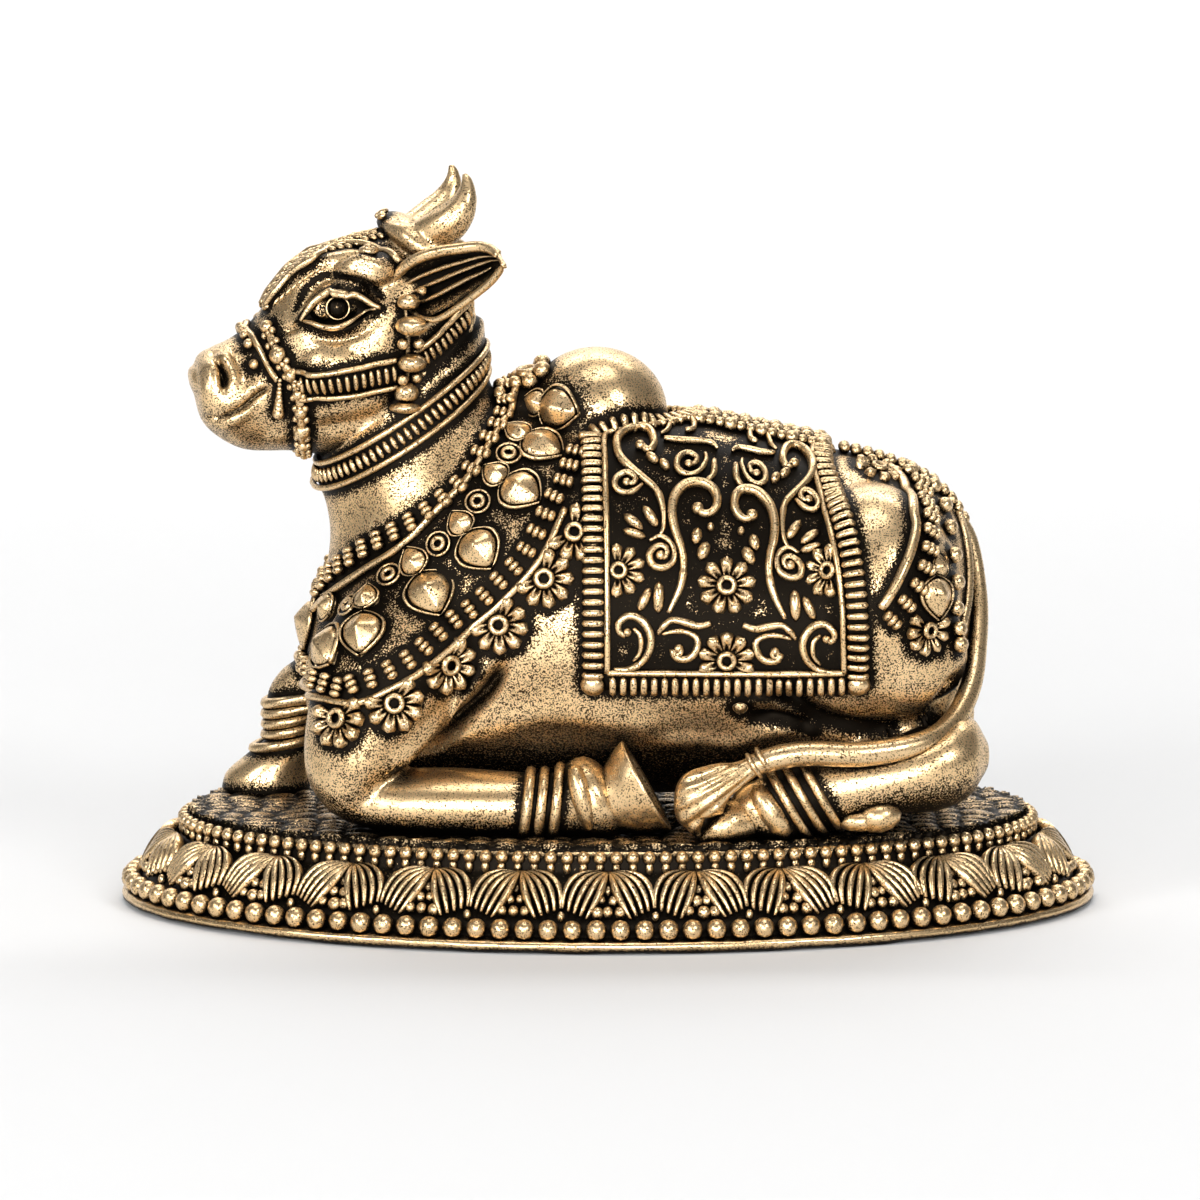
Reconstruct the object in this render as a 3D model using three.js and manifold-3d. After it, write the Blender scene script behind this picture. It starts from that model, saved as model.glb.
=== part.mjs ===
// A small brass figure of Nandi, the bull, cast in one with the oval lotus base that it lies on.
// The bull faces -X, its near side is -Y, +Z is up, and the origin is the middle of the underside.
// Sizes are in millimetres. The bull itself is laid out in parts, of which FIGURE_PARTS make its height.
import * as THREE from "three";
import { mergeVertices } from "three/addons/utils/BufferGeometryUtils.js";
import Module from "manifold-3d";

const wasm = await Module();
wasm.setup();

// The oval base, with a row of beads on its rim and a ring of lotus petals on its wall
const BASE_LENGTH = 100;
const BASE_WIDTH = 62;
const BASE_HEIGHT = 9.6;
const TOP_LENGTH = 87.2;
const TOP_WIDTH = 53.2;
const RIM_HEIGHT = 1.3;
const RIM_BEAD = 2.1;
const RIDGE_HEIGHT = 1.9;
const RIDGE_RAISE = 0.8;
const PETAL_COUNT = 26;
const PETAL_RAISE = 1.3;
const BEADS_PER_PETAL = 4;

// The bull, and how far its head turns to the near side, in degrees
const FIGURE_HEIGHT = 66;
const FIGURE_PARTS = 66;
const PART = FIGURE_HEIGHT / FIGURE_PARTS;
const HEAD_TURN = 8;
const NECK_AXIS_X = -20;
const FAR_EAR_DROP = 1.8;

// Ornament: every raised piece is sunk a little into the skin under it
const SINK = 0.6;
const LINE_WIDTH = 1.2;
const LINE_RAISE = 0.6;
const COLLAR_WIDTH = 3.2;
const COLLAR_RAISE = 0.6;
const HALTER_WIDTH = 2.6;
const HALTER_RAISE = 0.5;
const BEAD_LENGTH = 2.6;
const BEAD_WIDTH = 1.9;
const BEAD_RAISE = 0.9;
const BEAD_PITCH = 2.9;
const FLOWER_WIDTH = 5.0;
const FLOWER_RAISE = 1.1;
const PENDANT_WIDTH = 4.2;
const PENDANT_RAISE = 1.9;
const BORDER_WIDTH = 2.4;
const BORDER_RAISE = 0.6;
const SCROLL_WIDTH = 1.4;
const SCROLL_RAISE = 0.8;
const ANKLET_RAISE = 0.7;
const NOSE_BAND_WIDTH = 1.6;
const FOREHEAD_BAND_WIDTH = 1.8;
const TEMPLE_BOSS = 2.6;
const EYE_RAISE = 1.4;

// How far apart the places along a band, a halter and the nose band are
const BAND_STEP = 4;
const HALTER_STEP = 4.5;
const NOSE_STEP = 3.2;

// The saddle cloth, in parts: its rays start from a middle line at CLOTH_AXIS and reach HEM_ANGLE
// to each side, CLOTH_GIRTH from hem to hem. Its front edge draws back by HUMP_ROOM behind the hump,
// where the upward share of a ray is over HUMP_SHARE, and its back edge tapers on the spine.
const CLOTH_THICKNESS = 0.9;
const CLOTH_SINK = 1.8;
const CLOTH_FRONT = -3.0;
const CLOTH_BACK = 26.5;
const CLOTH_AXIS = 20;
const HEM_ANGLE = 109;
const CLOTH_GIRTH = 74;
const HUMP_ROOM = 11;
const HUMP_SHARE = 0.93;
const CLOTH_TAPER = 3.5;
const BORDER_STEP_SHARE = 0.012;

const radians = THREE.MathUtils.degToRad;
const vector = (x, y, z) => new THREE.Vector3(x, y, z);

// Solids are joined and cut as manifolds, and only their places are kept
function solidOf(geometry) {
  const bare = geometry.clone();
  bare.deleteAttribute("normal");
  bare.deleteAttribute("uv");
  const merged = mergeVertices(bare, 1e-4);
  return new wasm.Manifold(
    new wasm.Mesh({
      numProp: 3,
      vertProperties: new Float32Array(merged.attributes.position.array),
      triVerts: new Uint32Array(merged.index.array),
    }),
  );
}

function geometryOf(solid) {
  const { vertProperties, triVerts, numProp } = solid.getMesh();
  const places = new Float32Array((vertProperties.length / numProp) * 3);
  for (let i = 0; i * numProp < vertProperties.length; i++)
    places.set(vertProperties.subarray(i * numProp, i * numProp + 3), i * 3);
  const geometry = new THREE.BufferGeometry();
  geometry.setAttribute("position", new THREE.BufferAttribute(places, 3));
  geometry.setIndex(new THREE.BufferAttribute(new Uint32Array(triVerts), 1));
  geometry.computeVertexNormals();
  return geometry;
}

const joined = (solids) => solids.reduce((all, one) => all.add(one));
const mirrored = (solid) => solid.mirror([0, 1, 0]);

// Faces between two rings of points, the second with as many points as the first, or twice or half
function facesBetween(from, fromCount, to, toCount) {
  const faces = [];
  const few = Math.min(fromCount, toCount);
  for (let i = 0; i < few; i++) {
    const j = (i + 1) % few;
    if (fromCount === toCount) faces.push(from + i, from + j, to + j, from + i, to + j, to + i);
    else if (fromCount < toCount) {
      const [a, b, c] = [to + 2 * i, to + 2 * i + 1, to + 2 * j];
      faces.push(from + i, b, a, from + i, from + j, b, from + j, c, b);
    } else {
      const [a, b, c] = [from + 2 * i, from + 2 * i + 1, from + 2 * j];
      faces.push(to + i, a, b, to + i, b, to + j, to + j, b, c);
    }
  }
  return faces;
}

// A closed skin over rings of points, from a first to a last point, whichever way round they run.
// Where a ring carries apexes, each stretch between it and the ring before is a bead, as a low pyramid.
function skinOver(rings, first, last) {
  const points = [first];
  const faces = [];
  let before = 0;
  rings.forEach((ring, r) => {
    const start = points.length;
    const count = ring.length;
    if (r === 0) for (let i = 0; i < count; i++) faces.push(before, start + ((i + 1) % count), start + i);
    else if (ring.apexes)
      for (let i = 0; i < count; i++) {
        const j = (i + 1) % count;
        const corners = [before + i, before + j, start + j, start + i];
        corners.forEach((corner, k) => faces.push(corner, corners[(k + 1) % 4], start + count + i));
      }
    else faces.push(...facesBetween(before, rings[r - 1].length, start, count));
    points.push(...ring, ...(ring.apexes ?? []));
    before = start;
  });
  const count = rings.at(-1).length;
  for (let i = 0; i < count; i++) faces.push(points.length, before + i, before + ((i + 1) % count));
  points.push(last);
  return skinOf(points, faces);
}

// A solid from points and faces, turned inside out if its faces point in
function skinOf(points, faces) {
  const geometry = new THREE.BufferGeometry().setFromPoints(points);
  geometry.setIndex(faces);
  const solid = solidOf(geometry);
  if (solid.volume() > 0) return solid;
  geometry.setIndex([...faces].reverse());
  return solidOf(geometry);
}

// Angles round a full turn
const turns = (count) => Array.from({ length: count }, (_, k) => (2 * Math.PI * k) / count);

// A body with its two outlines in the side view: stations are
// [low x, low z, high x, high z, half width, y of the middle], and tip is how far the ends bulge
function body(stations, sides, tip = 0.3) {
  const ring = ([lowX, lowZ, highX, highZ, half, y = 0]) => {
    const middle = vector((lowX + highX) / 2, y, (lowZ + highZ) / 2);
    const up = vector((highX - lowX) / 2, 0, (highZ - lowZ) / 2);
    const points = turns(sides).map((turn) =>
      middle
        .clone()
        .addScaledVector(up, Math.sin(turn))
        .add(vector(0, half * Math.cos(turn), 0)),
    );
    return { middle, points, half };
  };
  const rings = stations.map(ring);
  const end = rings.length - 1;
  const cap = (i, from) => {
    const out = rings[i].middle.clone().sub(rings[from].middle);
    return rings[i].middle.clone().add(out.setLength(tip * rings[i].half));
  };
  return skinOver(
    rings.map((r) => r.points),
    cap(0, 1),
    cap(end, end - 1),
  );
}

// Stations of a leg that wears anklets, evenly between two of its stations
function ankletStations(from, to, count) {
  return Array.from({ length: 2 * count + 1 }, (_, k) => {
    const share = k / (2 * count);
    const [lowX, lowZ, highX, highZ, half, y] = from.map((value, i) => THREE.MathUtils.lerp(value, to[i], share));
    const swell = k % 2 ? ANKLET_RAISE / PART : 0;
    const length = Math.hypot(highX - lowX, highZ - lowZ);
    const outX = (swell * (highX - lowX)) / length;
    const outZ = (swell * (highZ - lowZ)) / length;
    return [lowX - outX, lowZ - outZ, highX + outX, highZ + outZ, half + swell, y];
  });
}

// A round limb along its middle line: stations are [x, y, z, half thickness, half depth]
function limb(stations, sides) {
  const middles = stations.map(([x, y, z]) => vector(x, y, z));
  const end = middles.length - 1;
  const rings = stations.map(([, , , thick, deep], i) => {
    const along = middles[Math.min(i + 1, end)].clone().sub(middles[Math.max(i - 1, 0)]).normalize();
    const across = vector(0, 1, 0);
    across.addScaledVector(along, -across.dot(along)).normalize();
    const up = along.clone().cross(across);
    return turns(sides).map((turn) =>
      middles[i]
        .clone()
        .addScaledVector(across, thick * Math.cos(turn))
        .addScaledVector(up, deep * Math.sin(turn)),
    );
  });
  const cap = (i, from) => {
    const out = middles[i].clone().sub(middles[from]);
    return middles[i].clone().add(out.setLength(0.5 * stations[i][3]));
  };
  return skinOver(rings, cap(0, 1), cap(end, end - 1));
}

function ball([x, y, z], [a, b, c], sides = 10) {
  const geometry = new THREE.SphereGeometry(1, sides, Math.round(sides * 0.6));
  return solidOf(geometry.rotateX(Math.PI / 2).scale(a, b, c).translate(x, y, z));
}

// Neck and trunk in one, from inside the head to the tail
const trunk = body(
  [
    [-28.0, 38.5, -12.6, 50.0, 7.6],
    [-29.8, 34.6, -12.4, 46.6, 8.4],
    [-28.8, 31.3, -12.0, 43.6, 8.8],
    [-28.4, 27.9, -10.2, 41.6, 9.8],
    [-29.0, 23.8, -6.4, 41.2, 11.4],
    [-30.2, 19.6, -1.8, 40.4, 13.4],
    [-31.0, 14.5, 3.3, 40.0, 15.4],
    [-30.6, 9.0, 9.4, 39.6, 16.6],
    [-26.5, 3.0, 15.4, 38.4, 17.2],
    [-14.0, 1.5, 21.0, 37.2, 17.4],
    [2.0, 1.5, 27.2, 35.8, 17.6],
    [16.0, 1.5, 32.4, 33.6, 17.2],
    [27.0, 2.0, 35.6, 30.2, 14.6],
    [33.4, 4.0, 37.0, 26.0, 10.6],
    [36.0, 9.0, 37.4, 19.6, 5.4],
  ],
  12,
);
const hump = ball([-1.2, 0, 40.6], [7.3, 6.9, 6.7], 8);

// Head, laid out facing -X
const skull = body(
  [
    [-42.6, 43.2, -42.6, 45.6, 3.0],
    [-41.6, 40.6, -42.2, 47.0, 4.9],
    [-39.6, 38.4, -40.4, 47.7, 5.6],
    [-37.2, 37.1, -38.5, 48.4, 5.5],
    [-34.8, 36.9, -37.0, 49.5, 5.4],
    [-32.8, 36.9, -35.4, 51.2, 6.2],
    [-31.2, 36.7, -33.8, 53.4, 7.2],
    [-28.8, 36.4, -31.4, 56.0, 8.4],
    [-26.1, 36.6, -28.6, 57.6, 9.0],
    [-22.2, 38.2, -24.6, 58.8, 9.2],
    [-18.1, 42.6, -19.6, 59.2, 7.8],
    [-15.4, 46.0, -16.2, 57.0, 5.6],
  ],
  12,
);
const brow = ball([-25.0, -6.0, 55.6], [3.6, 2.6, 1.9], 6);
const horn = limb(
  [
    [-20.6, -3.6, 58.2, 1.5, 1.5],
    [-18.2, -5.0, 59.3, 1.4, 1.3],
    [-16.5, -6.0, 60.7, 1.5, 1.5],
    [-15.6, -6.4, 62.2, 1.2, 1.2],
    [-15.2, -6.2, 63.9, 0.7, 0.7],
    [-15.3, -5.8, 65.3, 0.3, 0.3],
  ],
  6,
);
const hornKnot = ball([-20.8, -4.2, 58.9], [1.9, 1.8, 1.8], 6);
const ear = limb(
  [
    [-21.6, -7.2, 53.0, 0.9, 1.5],
    [-19.2, -10.2, 53.8, 1.0, 3.2],
    [-17.0, -12.6, 54.9, 1.0, 3.3],
    [-14.8, -14.6, 56.3, 0.8, 2.2],
    [-13.0, -15.9, 57.3, 0.4, 0.8],
  ],
  6,
);

// The near foreleg is folded flat, and the far one stands on its hoof
const foldedForeleg = joined([
  body(
    [
      [-24.0, 26.0, -7.6, 26.0, 5.0, -9.0],
      [-28.4, 19.5, -10.4, 20.5, 6.6, -11.4],
      [-30.0, 13.0, -14.4, 14.6, 6.6, -13.0],
      [-30.6, 8.0, -18.0, 9.6, 6.2, -13.8],
      [-30.0, 4.6, -20.6, 6.6, 5.6, -14.2],
      [-28.0, 1.8, -22.6, 3.6, 4.4, -14.4],
    ],
    8,
  ),
  body(
    [
      [-26.6, 1.0, -26.6, 5.2, 3.8, -14.4],
      [-22.0, -0.2, -22.0, 6.8, 4.6, -15.0],
      [-16.0, -0.6, -16.0, 7.4, 4.6, -15.8],
      [-10.0, -0.6, -10.0, 7.0, 3.9, -16.6],
      ...ankletStations([-9.0, -0.4, -9.0, 6.8, 3.3, -16.8], [-4.6, -0.4, -4.6, 7.0, 3.3, -17.2], 3),
      [-2.6, -0.8, -2.6, 8.0, 4.0, -17.4],
      [-0.2, -0.4, -0.6, 7.6, 3.4, -17.4],
      [3.2, -0.4, 0.4, 8.6, 3.8, -17.4],
      [5.8, -0.4, 1.4, 9.0, 4.0, -17.4],
    ],
    8,
    0.02,
  ),
]);
const standingForeleg = joined([
  body(
    [
      [-20.0, 13.0, -14.0, 24.0, 6.0, 8.0],
      [-27.0, 8.0, -27.4, 17.6, 5.2, 9.0],
      [-31.0, 8.0, -31.4, 14.6, 4.0, 9.2],
      [-33.6, 9.0, -33.4, 12.8, 2.6, 9.2],
    ],
    8,
  ),
  body(
    [
      [-33.8, 12.8, -30.0, 13.0, 3.2, 9.2],
      ...ankletStations([-35.7, 10.2, -30.2, 10.4, 2.9, 9.2], [-35.8, 5.4, -30.4, 5.2, 2.8, 9.2], 3),
      [-37.6, 3.8, -30.8, 3.6, 3.2, 9.2],
      [-39.8, 1.6, -31.0, 1.4, 3.9, 9.2],
      [-40.0, -0.5, -31.0, -0.5, 4.0, 9.2],
    ],
    8,
  ),
]);

// Each hind leg lies folded along its flank
const haunch = ball([26.4, -8.6, 22.0], [9.4, 9.8, 12.4], 10);
const hindLeg = joined([
  body(
    [
      [37.8, 5.4, 38.0, 9.0, 2.4, -13.0],
      [36.2, 3.2, 36.6, 11.2, 5.0, -13.5],
      [33.0, 2.0, 33.4, 11.4, 5.8, -14.4],
      [28.0, 1.8, 28.4, 9.6, 4.8, -16.0],
      ...ankletStations([23.8, 0.8, 20.4, 8.0, 3.6, -17.4], [19.4, -0.2, 15.6, 6.4, 3.3, -18.4], 3),
      [15.6, -0.5, 13.4, 4.4, 3.0, -18.8],
      [10.0, -0.5, 11.0, 2.0, 2.6, -19.2],
    ],
    8,
  ),
  ball([27.0, -17.2, 1.0], [3.0, 2.6, 2.0], 6),
]);
const tail = limb(
  [
    [34.6, 0, 31.0, 1.4, 1.4],
    [37.2, -2.0, 27.2, 1.2, 1.2],
    [38.0, -5.0, 21.9, 1.1, 1.1],
    [37.6, -8.0, 17.3, 1.1, 1.1],
    [36.6, -11.6, 13.7, 1.1, 1.1],
    [34.6, -15.0, 11.6, 1.1, 1.1],
    [31.2, -18.2, 10.0, 1.1, 1.1],
    [25.6, -20.0, 9.2, 1.1, 1.1],
    [19.4, -21.0, 9.0, 1.1, 1.1],
    [14.2, -21.6, 7.8, 1.2, 1.2],
    [11.0, -21.6, 6.0, 2.0, 2.6],
    [9.4, -21.6, 3.8, 2.0, 2.4],
    [8.8, -21.6, 1.4, 0.8, 1.0],
  ],
  5,
);

// From the bull's parts to millimetres on top of the base
const placed = (solid) => solid.scale(PART).translate([0, 0, BASE_HEIGHT]);
const bullPlace = (x, z, y = 0) => vector(x * PART, y * PART, z * PART + BASE_HEIGHT);

function turnedHead(solid) {
  const axis = NECK_AXIS_X * PART;
  return solid.translate([-axis, 0, 0]).rotate([0, 0, HEAD_TURN]).translate([axis, 0, 0]);
}

const bareHead = joined([
  skull,
  ...[brow, horn, hornKnot].flatMap((solid) => [solid, mirrored(solid)]),
  ear,
  mirrored(ear).translate([0, 0, -FAR_EAR_DROP]),
]);
const bareBody = placed(
  joined([
    trunk,
    hump,
    foldedForeleg,
    standingForeleg,
    haunch,
    mirrored(haunch),
    hindLeg,
    mirrored(hindLeg),
    tail,
  ]),
);

// Places on a skin are found by rays from outside it, and each keeps the skin's normal there
function skinFinder(solid) {
  const target = new THREE.Mesh(geometryOf(solid), new THREE.MeshBasicMaterial());
  const ray = new THREE.Raycaster();
  return (aim, from, reach = BASE_LENGTH + FIGURE_HEIGHT) => {
    const direction = from.clone().normalize();
    ray.set(aim.clone().addScaledVector(direction, reach), direction.clone().negate());
    const hit = ray.intersectObject(target)[0];
    return hit ? { point: hit.point, normal: hit.normal.normalize() } : null;
  };
}

const NEAR = 4 * PART;
const onFlank = (find, x, z, side) => find(bullPlace(x, z), vector(0, side, 0));

// Even places along a smooth curve through points near the skin, each brought back onto it
function curveThrough(find, points, outFrom, closed, pitch) {
  const curve = new THREE.CatmullRomCurve3(points, closed, "centripetal");
  const steps = Math.max(2, 2 * Math.round(curve.getLength() / pitch / 2));
  const spaced = curve.getSpacedPoints(steps);
  if (closed) spaced.pop();
  return spaced.map((point) => find(point, outFrom(point), NEAR) ?? find(point, outFrom(point)));
}

// A loop round the body, through places seen from the side. The first is met from the front,
// and the last, on the middle line too, from the direction given.
function garland(find, sidePlaces, pitch, backward = vector(1, 0, 0.3)) {
  const [front, back] = [sidePlaces[0], sidePlaces.at(-1)].map(([x, z]) => bullPlace(x, z));
  const centre = front.clone().add(back).multiplyScalar(0.5);
  const between = sidePlaces.slice(1, -1);
  const flank = (side) => between.map(([x, z]) => onFlank(find, x, z, side).point);
  const ends = [find(front, vector(-1, 0, 0)).point, find(back, backward).point];
  const points = [ends[0], ...flank(-1), ends[1], ...flank(1).reverse()];
  return curveThrough(find, points, (point) => point.clone().sub(centre), true, pitch);
}

// A line along one flank
function flankLine(find, sidePlaces, side, pitch) {
  const points = sidePlaces.map(([x, z]) => onFlank(find, x, z, side).point);
  return curveThrough(find, points, () => vector(0, side, 0), false, pitch);
}

// A strip along places on a skin, with its section as [across, height] pairs
function strip(places, section, closed = false) {
  const count = places.length;
  const rings = places.map(({ point, normal }, i) => {
    const before = places[closed ? (i + count - 1) % count : Math.max(i - 1, 0)].point;
    const after = places[closed ? (i + 1) % count : Math.min(i + 1, count - 1)].point;
    const across = normal.clone().cross(after.clone().sub(before)).normalize();
    return section.map(([wide, high]) =>
      point.clone().addScaledVector(across, wide).addScaledVector(normal, high),
    );
  });
  if (!closed) return skinOver(rings, places[0].point, places.at(-1).point);
  const faces = rings.flatMap((ring, r) => {
    const size = ring.length;
    return facesBetween(r * size, size, ((r + 1) % count) * size, size);
  });
  return skinOf(rings.flat(), faces);
}

const sharp = (width, raise) => [[0, raise], [width / 2, -SINK], [-width / 2, -SINK]];
const flat = (width, raise) => [
  [-width / 2, raise],
  [width / 2, raise],
  [width / 2, -SINK],
  [-width / 2, -SINK],
];

// A low cone over an outline of radii, sized where it leaves the skin
function boss(radii, raise) {
  const spread = (raise + SINK) / raise;
  const rim = radii.map((radius, k) => {
    const turn = (2 * Math.PI * k) / radii.length;
    return vector(spread * radius * Math.sin(turn), spread * radius * Math.cos(turn), -SINK);
  });
  return [rim, vector(0, 0, raise), vector(0, 0, -2 * SINK)];
}

// A boss set on the skin, with its up side leaning to a direction
function setOn([rim, top, foot], { point, normal }, lean = vector(0, 0, 1)) {
  const up = lean.clone().addScaledVector(normal, -lean.dot(normal)).normalize();
  const right = up.clone().cross(normal);
  const place = new THREE.Matrix4().makeBasis(right, up, normal).setPosition(point);
  const put = (p) => p.clone().applyMatrix4(place);
  return skinOver([rim.map(put)], put(foot), put(top));
}

const bead = boss([BEAD_LENGTH / 2, BEAD_WIDTH / 2, BEAD_LENGTH / 2, BEAD_WIDTH / 2], BEAD_RAISE);
const plainFlower = boss(turns(8).map(() => FLOWER_WIDTH / 2), FLOWER_RAISE);
const petalFlower = boss(
  turns(16).map((_, k) => (k % 2 ? 0.4 : 0.52) * FLOWER_WIDTH),
  FLOWER_RAISE,
);
const pendant = boss(
  [0.4, 0.48, 0.5, 0.48, 0.72, 0.48, 0.5, 0.48].map((share) => share * PENDANT_WIDTH),
  PENDANT_RAISE,
);

const flanks = (make) => [-1, 1].flatMap(make);

// Halter, forehead band, temple strings and eyes, on the head before it is turned
const findHead = skinFinder(placed(joined([bareHead, trunk])));
const cheekLine = [
  [-32.1, 44.2],
  [-27.0, 45.0],
  [-22.4, 45.8],
  [-19.4, 47.4],
  [-16.4, 50.2],
  [-14.4, 52.2],
];
const foreheadLine = [
  [-35.1, 51.2],
  [-33.2, 53.8],
  [-30.6, 56.0],
  [-27.1, 57.6],
  [-23.6, 57.8],
];
const noseLoop = [
  [-36.7, 50.0],
  [-35.6, 47.5],
  [-33.6, 44.0],
  [-31.8, 39.3],
  [-30.5, 36.4],
];
const TEMPLE_X = -21.5;
const TEMPLE_HEIGHTS = [50.3, 46.6, 43.0];
const templeBoss = boss(turns(5).map(() => TEMPLE_BOSS / 2), BEAD_RAISE);
const eye = boss([1.5, 2.0, 3.4, 1.9, 1.4, 1.9, 3.4, 2.0].map((radius) => radius * PART), EYE_RAISE);
const harness = [
  strip(garland(findHead, noseLoop, NOSE_STEP, vector(-1, 0, -0.6)), flat(NOSE_BAND_WIDTH, LINE_RAISE), true),
  ...flanks((side) => [
    strip(flankLine(findHead, cheekLine, side, HALTER_STEP), flat(HALTER_WIDTH, HALTER_RAISE)),
    strip(flankLine(findHead, foreheadLine, side, BAND_STEP), sharp(FOREHEAD_BAND_WIDTH, LINE_RAISE)),
    setOn(eye, onFlank(findHead, -27.6, 51.7, side), vector(-0.2, 0, 1)),
    ...TEMPLE_HEIGHTS.map((z) => setOn(templeBoss, onFlank(findHead, TEMPLE_X, z, side))),
  ]),
];
const bareBull = joined([bareBody, turnedHead(placed(bareHead))]);
const findBull = skinFinder(bareBull);

// Neck collar, two rows of beads with a line below each, pendants and flowers
const collarPlaces = [
  [-30.2, 34.2],
  [-26.4, 35.4],
  [-23.0, 37.2],
  [-18.9, 39.8],
  [-15.4, 42.2],
  [-12.4, 46.0],
];
const upperRow = [
  [-29.6, 23.8],
  [-26.6, 26.0],
  [-20.9, 29.9],
  [-15.9, 33.5],
  [-12.4, 37.9],
  [-9.6, 41.4],
];
const lowerRow = [
  [-31.0, 14.8],
  [-25.1, 15.5],
  [-19.1, 18.5],
  [-12.0, 24.3],
  [-7.7, 29.2],
  [-5.4, 34.0],
  [-8.4, 41.0],
];
const pendantPlaces = [
  [-28.3, 18.8],
  [-24.1, 20.4],
  [-17.5, 24.3],
  [-12.3, 28.7],
  [-8.3, 34.2],
];
const flowerPlaces = [
  [-26.9, 11.6],
  [-21.1, 13.2],
  [-15.8, 16.8],
  [-10.8, 20.8],
  [-6.3, 25.4],
];

const ABOVE = vector(0, 0, 1);

function beadRow(find, sidePlaces) {
  const places = garland(find, sidePlaces, BEAD_PITCH, ABOVE);
  const count = places.length;
  return places.map((place, i) => {
    const along = places[(i + 1) % count].point.clone().sub(places[(i + count - 1) % count].point);
    return setOn(bead, place, along.cross(place.normal));
  });
}

const necklace = [
  strip(garland(findBull, collarPlaces, BAND_STEP), flat(COLLAR_WIDTH, COLLAR_RAISE), true),
  strip(garland(findBull, upperRow, BAND_STEP, ABOVE), sharp(BEAD_LENGTH, BEAD_RAISE), true),
  ...beadRow(findBull, lowerRow),
  ...flanks((side) => [
    ...pendantPlaces.map(([x, z]) => setOn(pendant, onFlank(findBull, x, z, side))),
    ...flowerPlaces.slice(side > 0 ? 1 : 0).map(([x, z]) => setOn(plainFlower, onFlank(findBull, x, z, side))),
  ]),
];

// Front and back edges of the saddle cloth on a ray
function clothEdges(angle) {
  const upward = Math.max(0, Math.cos(angle));
  const behindHump = Math.max(0, (upward - HUMP_SHARE) / (1 - HUMP_SHARE));
  return [CLOTH_FRONT + HUMP_ROOM * behindHump, CLOTH_BACK - CLOTH_TAPER * upward];
}

// A slab over the back from hem to hem, with a raised border on its four sides
function clothSlab(find) {
  const border = BORDER_WIDTH / PART / (CLOTH_BACK - CLOTH_FRONT);
  const hem = BORDER_WIDTH / PART / CLOTH_GIRTH;
  const stops = (edge, middle) => {
    const inside = edge + BORDER_STEP_SHARE;
    return [0, edge, inside, ...middle, 1 - inside, 1 - edge, 1];
  };
  const inner = (count) => Array.from({ length: count }, (_, k) => (k + 1) / (count + 1));
  const shares = stops(border, inner(3));
  const angles = stops(hem, inner(9));
  const onBorder = (share, edge) => share <= edge || share >= 1 - edge;
  const grid = (heightAt) =>
    angles.flatMap((angleShare) => {
      const angle = radians(THREE.MathUtils.lerp(-HEM_ANGLE, HEM_ANGLE, angleShare));
      const from = vector(0, Math.sin(angle), Math.cos(angle));
      const [front, back] = clothEdges(angle);
      return shares.map((share) => {
        const x = THREE.MathUtils.lerp(front, back, share);
        const raised = onBorder(share, border) || onBorder(angleShare, hem);
        return find(bullPlace(x, CLOTH_AXIS), from).point.addScaledVector(from, heightAt(raised));
      });
    });
  const outer = grid((raised) => CLOTH_THICKNESS + (raised ? BORDER_RAISE : 0));
  const under = grid(() => -CLOTH_SINK);
  const wide = shares.length;
  const half = outer.length;
  const faces = [];
  const quad = (a, b, c, d) => faces.push(a, b, c, a, c, d);
  for (let r = 0; r + 1 < angles.length; r++)
    for (let c = 0; c + 1 < wide; c++) {
      const a = r * wide + c;
      quad(a, a + 1, a + wide + 1, a + wide);
      quad(half + a, half + a + wide, half + a + wide + 1, half + a + 1);
    }
  for (let c = 0; c + 1 < wide; c++) {
    const a = half - wide + c;
    quad(half + c, half + c + 1, c + 1, c);
    quad(a, a + 1, half + a + 1, half + a);
  }
  for (let a = 0; a + wide < half; a += wide) {
    const b = a + wide - 1;
    quad(a, a + wide, half + a + wide, half + a);
    quad(half + b, half + b + wide, b + wide, b);
  }
  return skinOf([...outer, ...under], faces);
}

const saddleCloth = clothSlab(findBull);
const findCloth = skinFinder(bareBull.add(saddleCloth));

// A scroll on the cloth: a curl about a middle, from inside out, then a stem through further places
function scroll(side, [middleX, middleZ], radius, startTurn, turnBy, stem) {
  const steps = 7;
  const curl = Array.from({ length: steps }, (_, k) => {
    const turn = radians(startTurn + (turnBy * k) / (steps - 1));
    const grown = (radius * (k + 2)) / (steps + 1);
    return [middleX + grown * Math.cos(turn), middleZ + grown * Math.sin(turn)];
  });
  return strip(
    [...curl, ...stem].map(([x, z]) => onFlank(findCloth, x, z, side)),
    sharp(SCROLL_WIDTH, SCROLL_RAISE),
  );
}

const clothRelief = flanks((side) => [
  scroll(side, [8.6, 31.4], 2.4, 0, -330, [[6.4, 28.6], [5.6, 25.6], [5.4, 22.6]]),
  scroll(side, [14.8, 31.4], 2.4, 180, 330, [[17.0, 28.6], [17.8, 25.6], [18.2, 22.6]]),
  scroll(side, [3.4, 19.4], 2.0, 90, -330, []),
  scroll(side, [20.6, 19.4], 2.0, 90, 330, []),
  setOn(petalFlower, onFlank(findCloth, 11.8, 24.9, side)),
  setOn(petalFlower, onFlank(findCloth, 11.9, 18.4, side)),
]);

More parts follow.
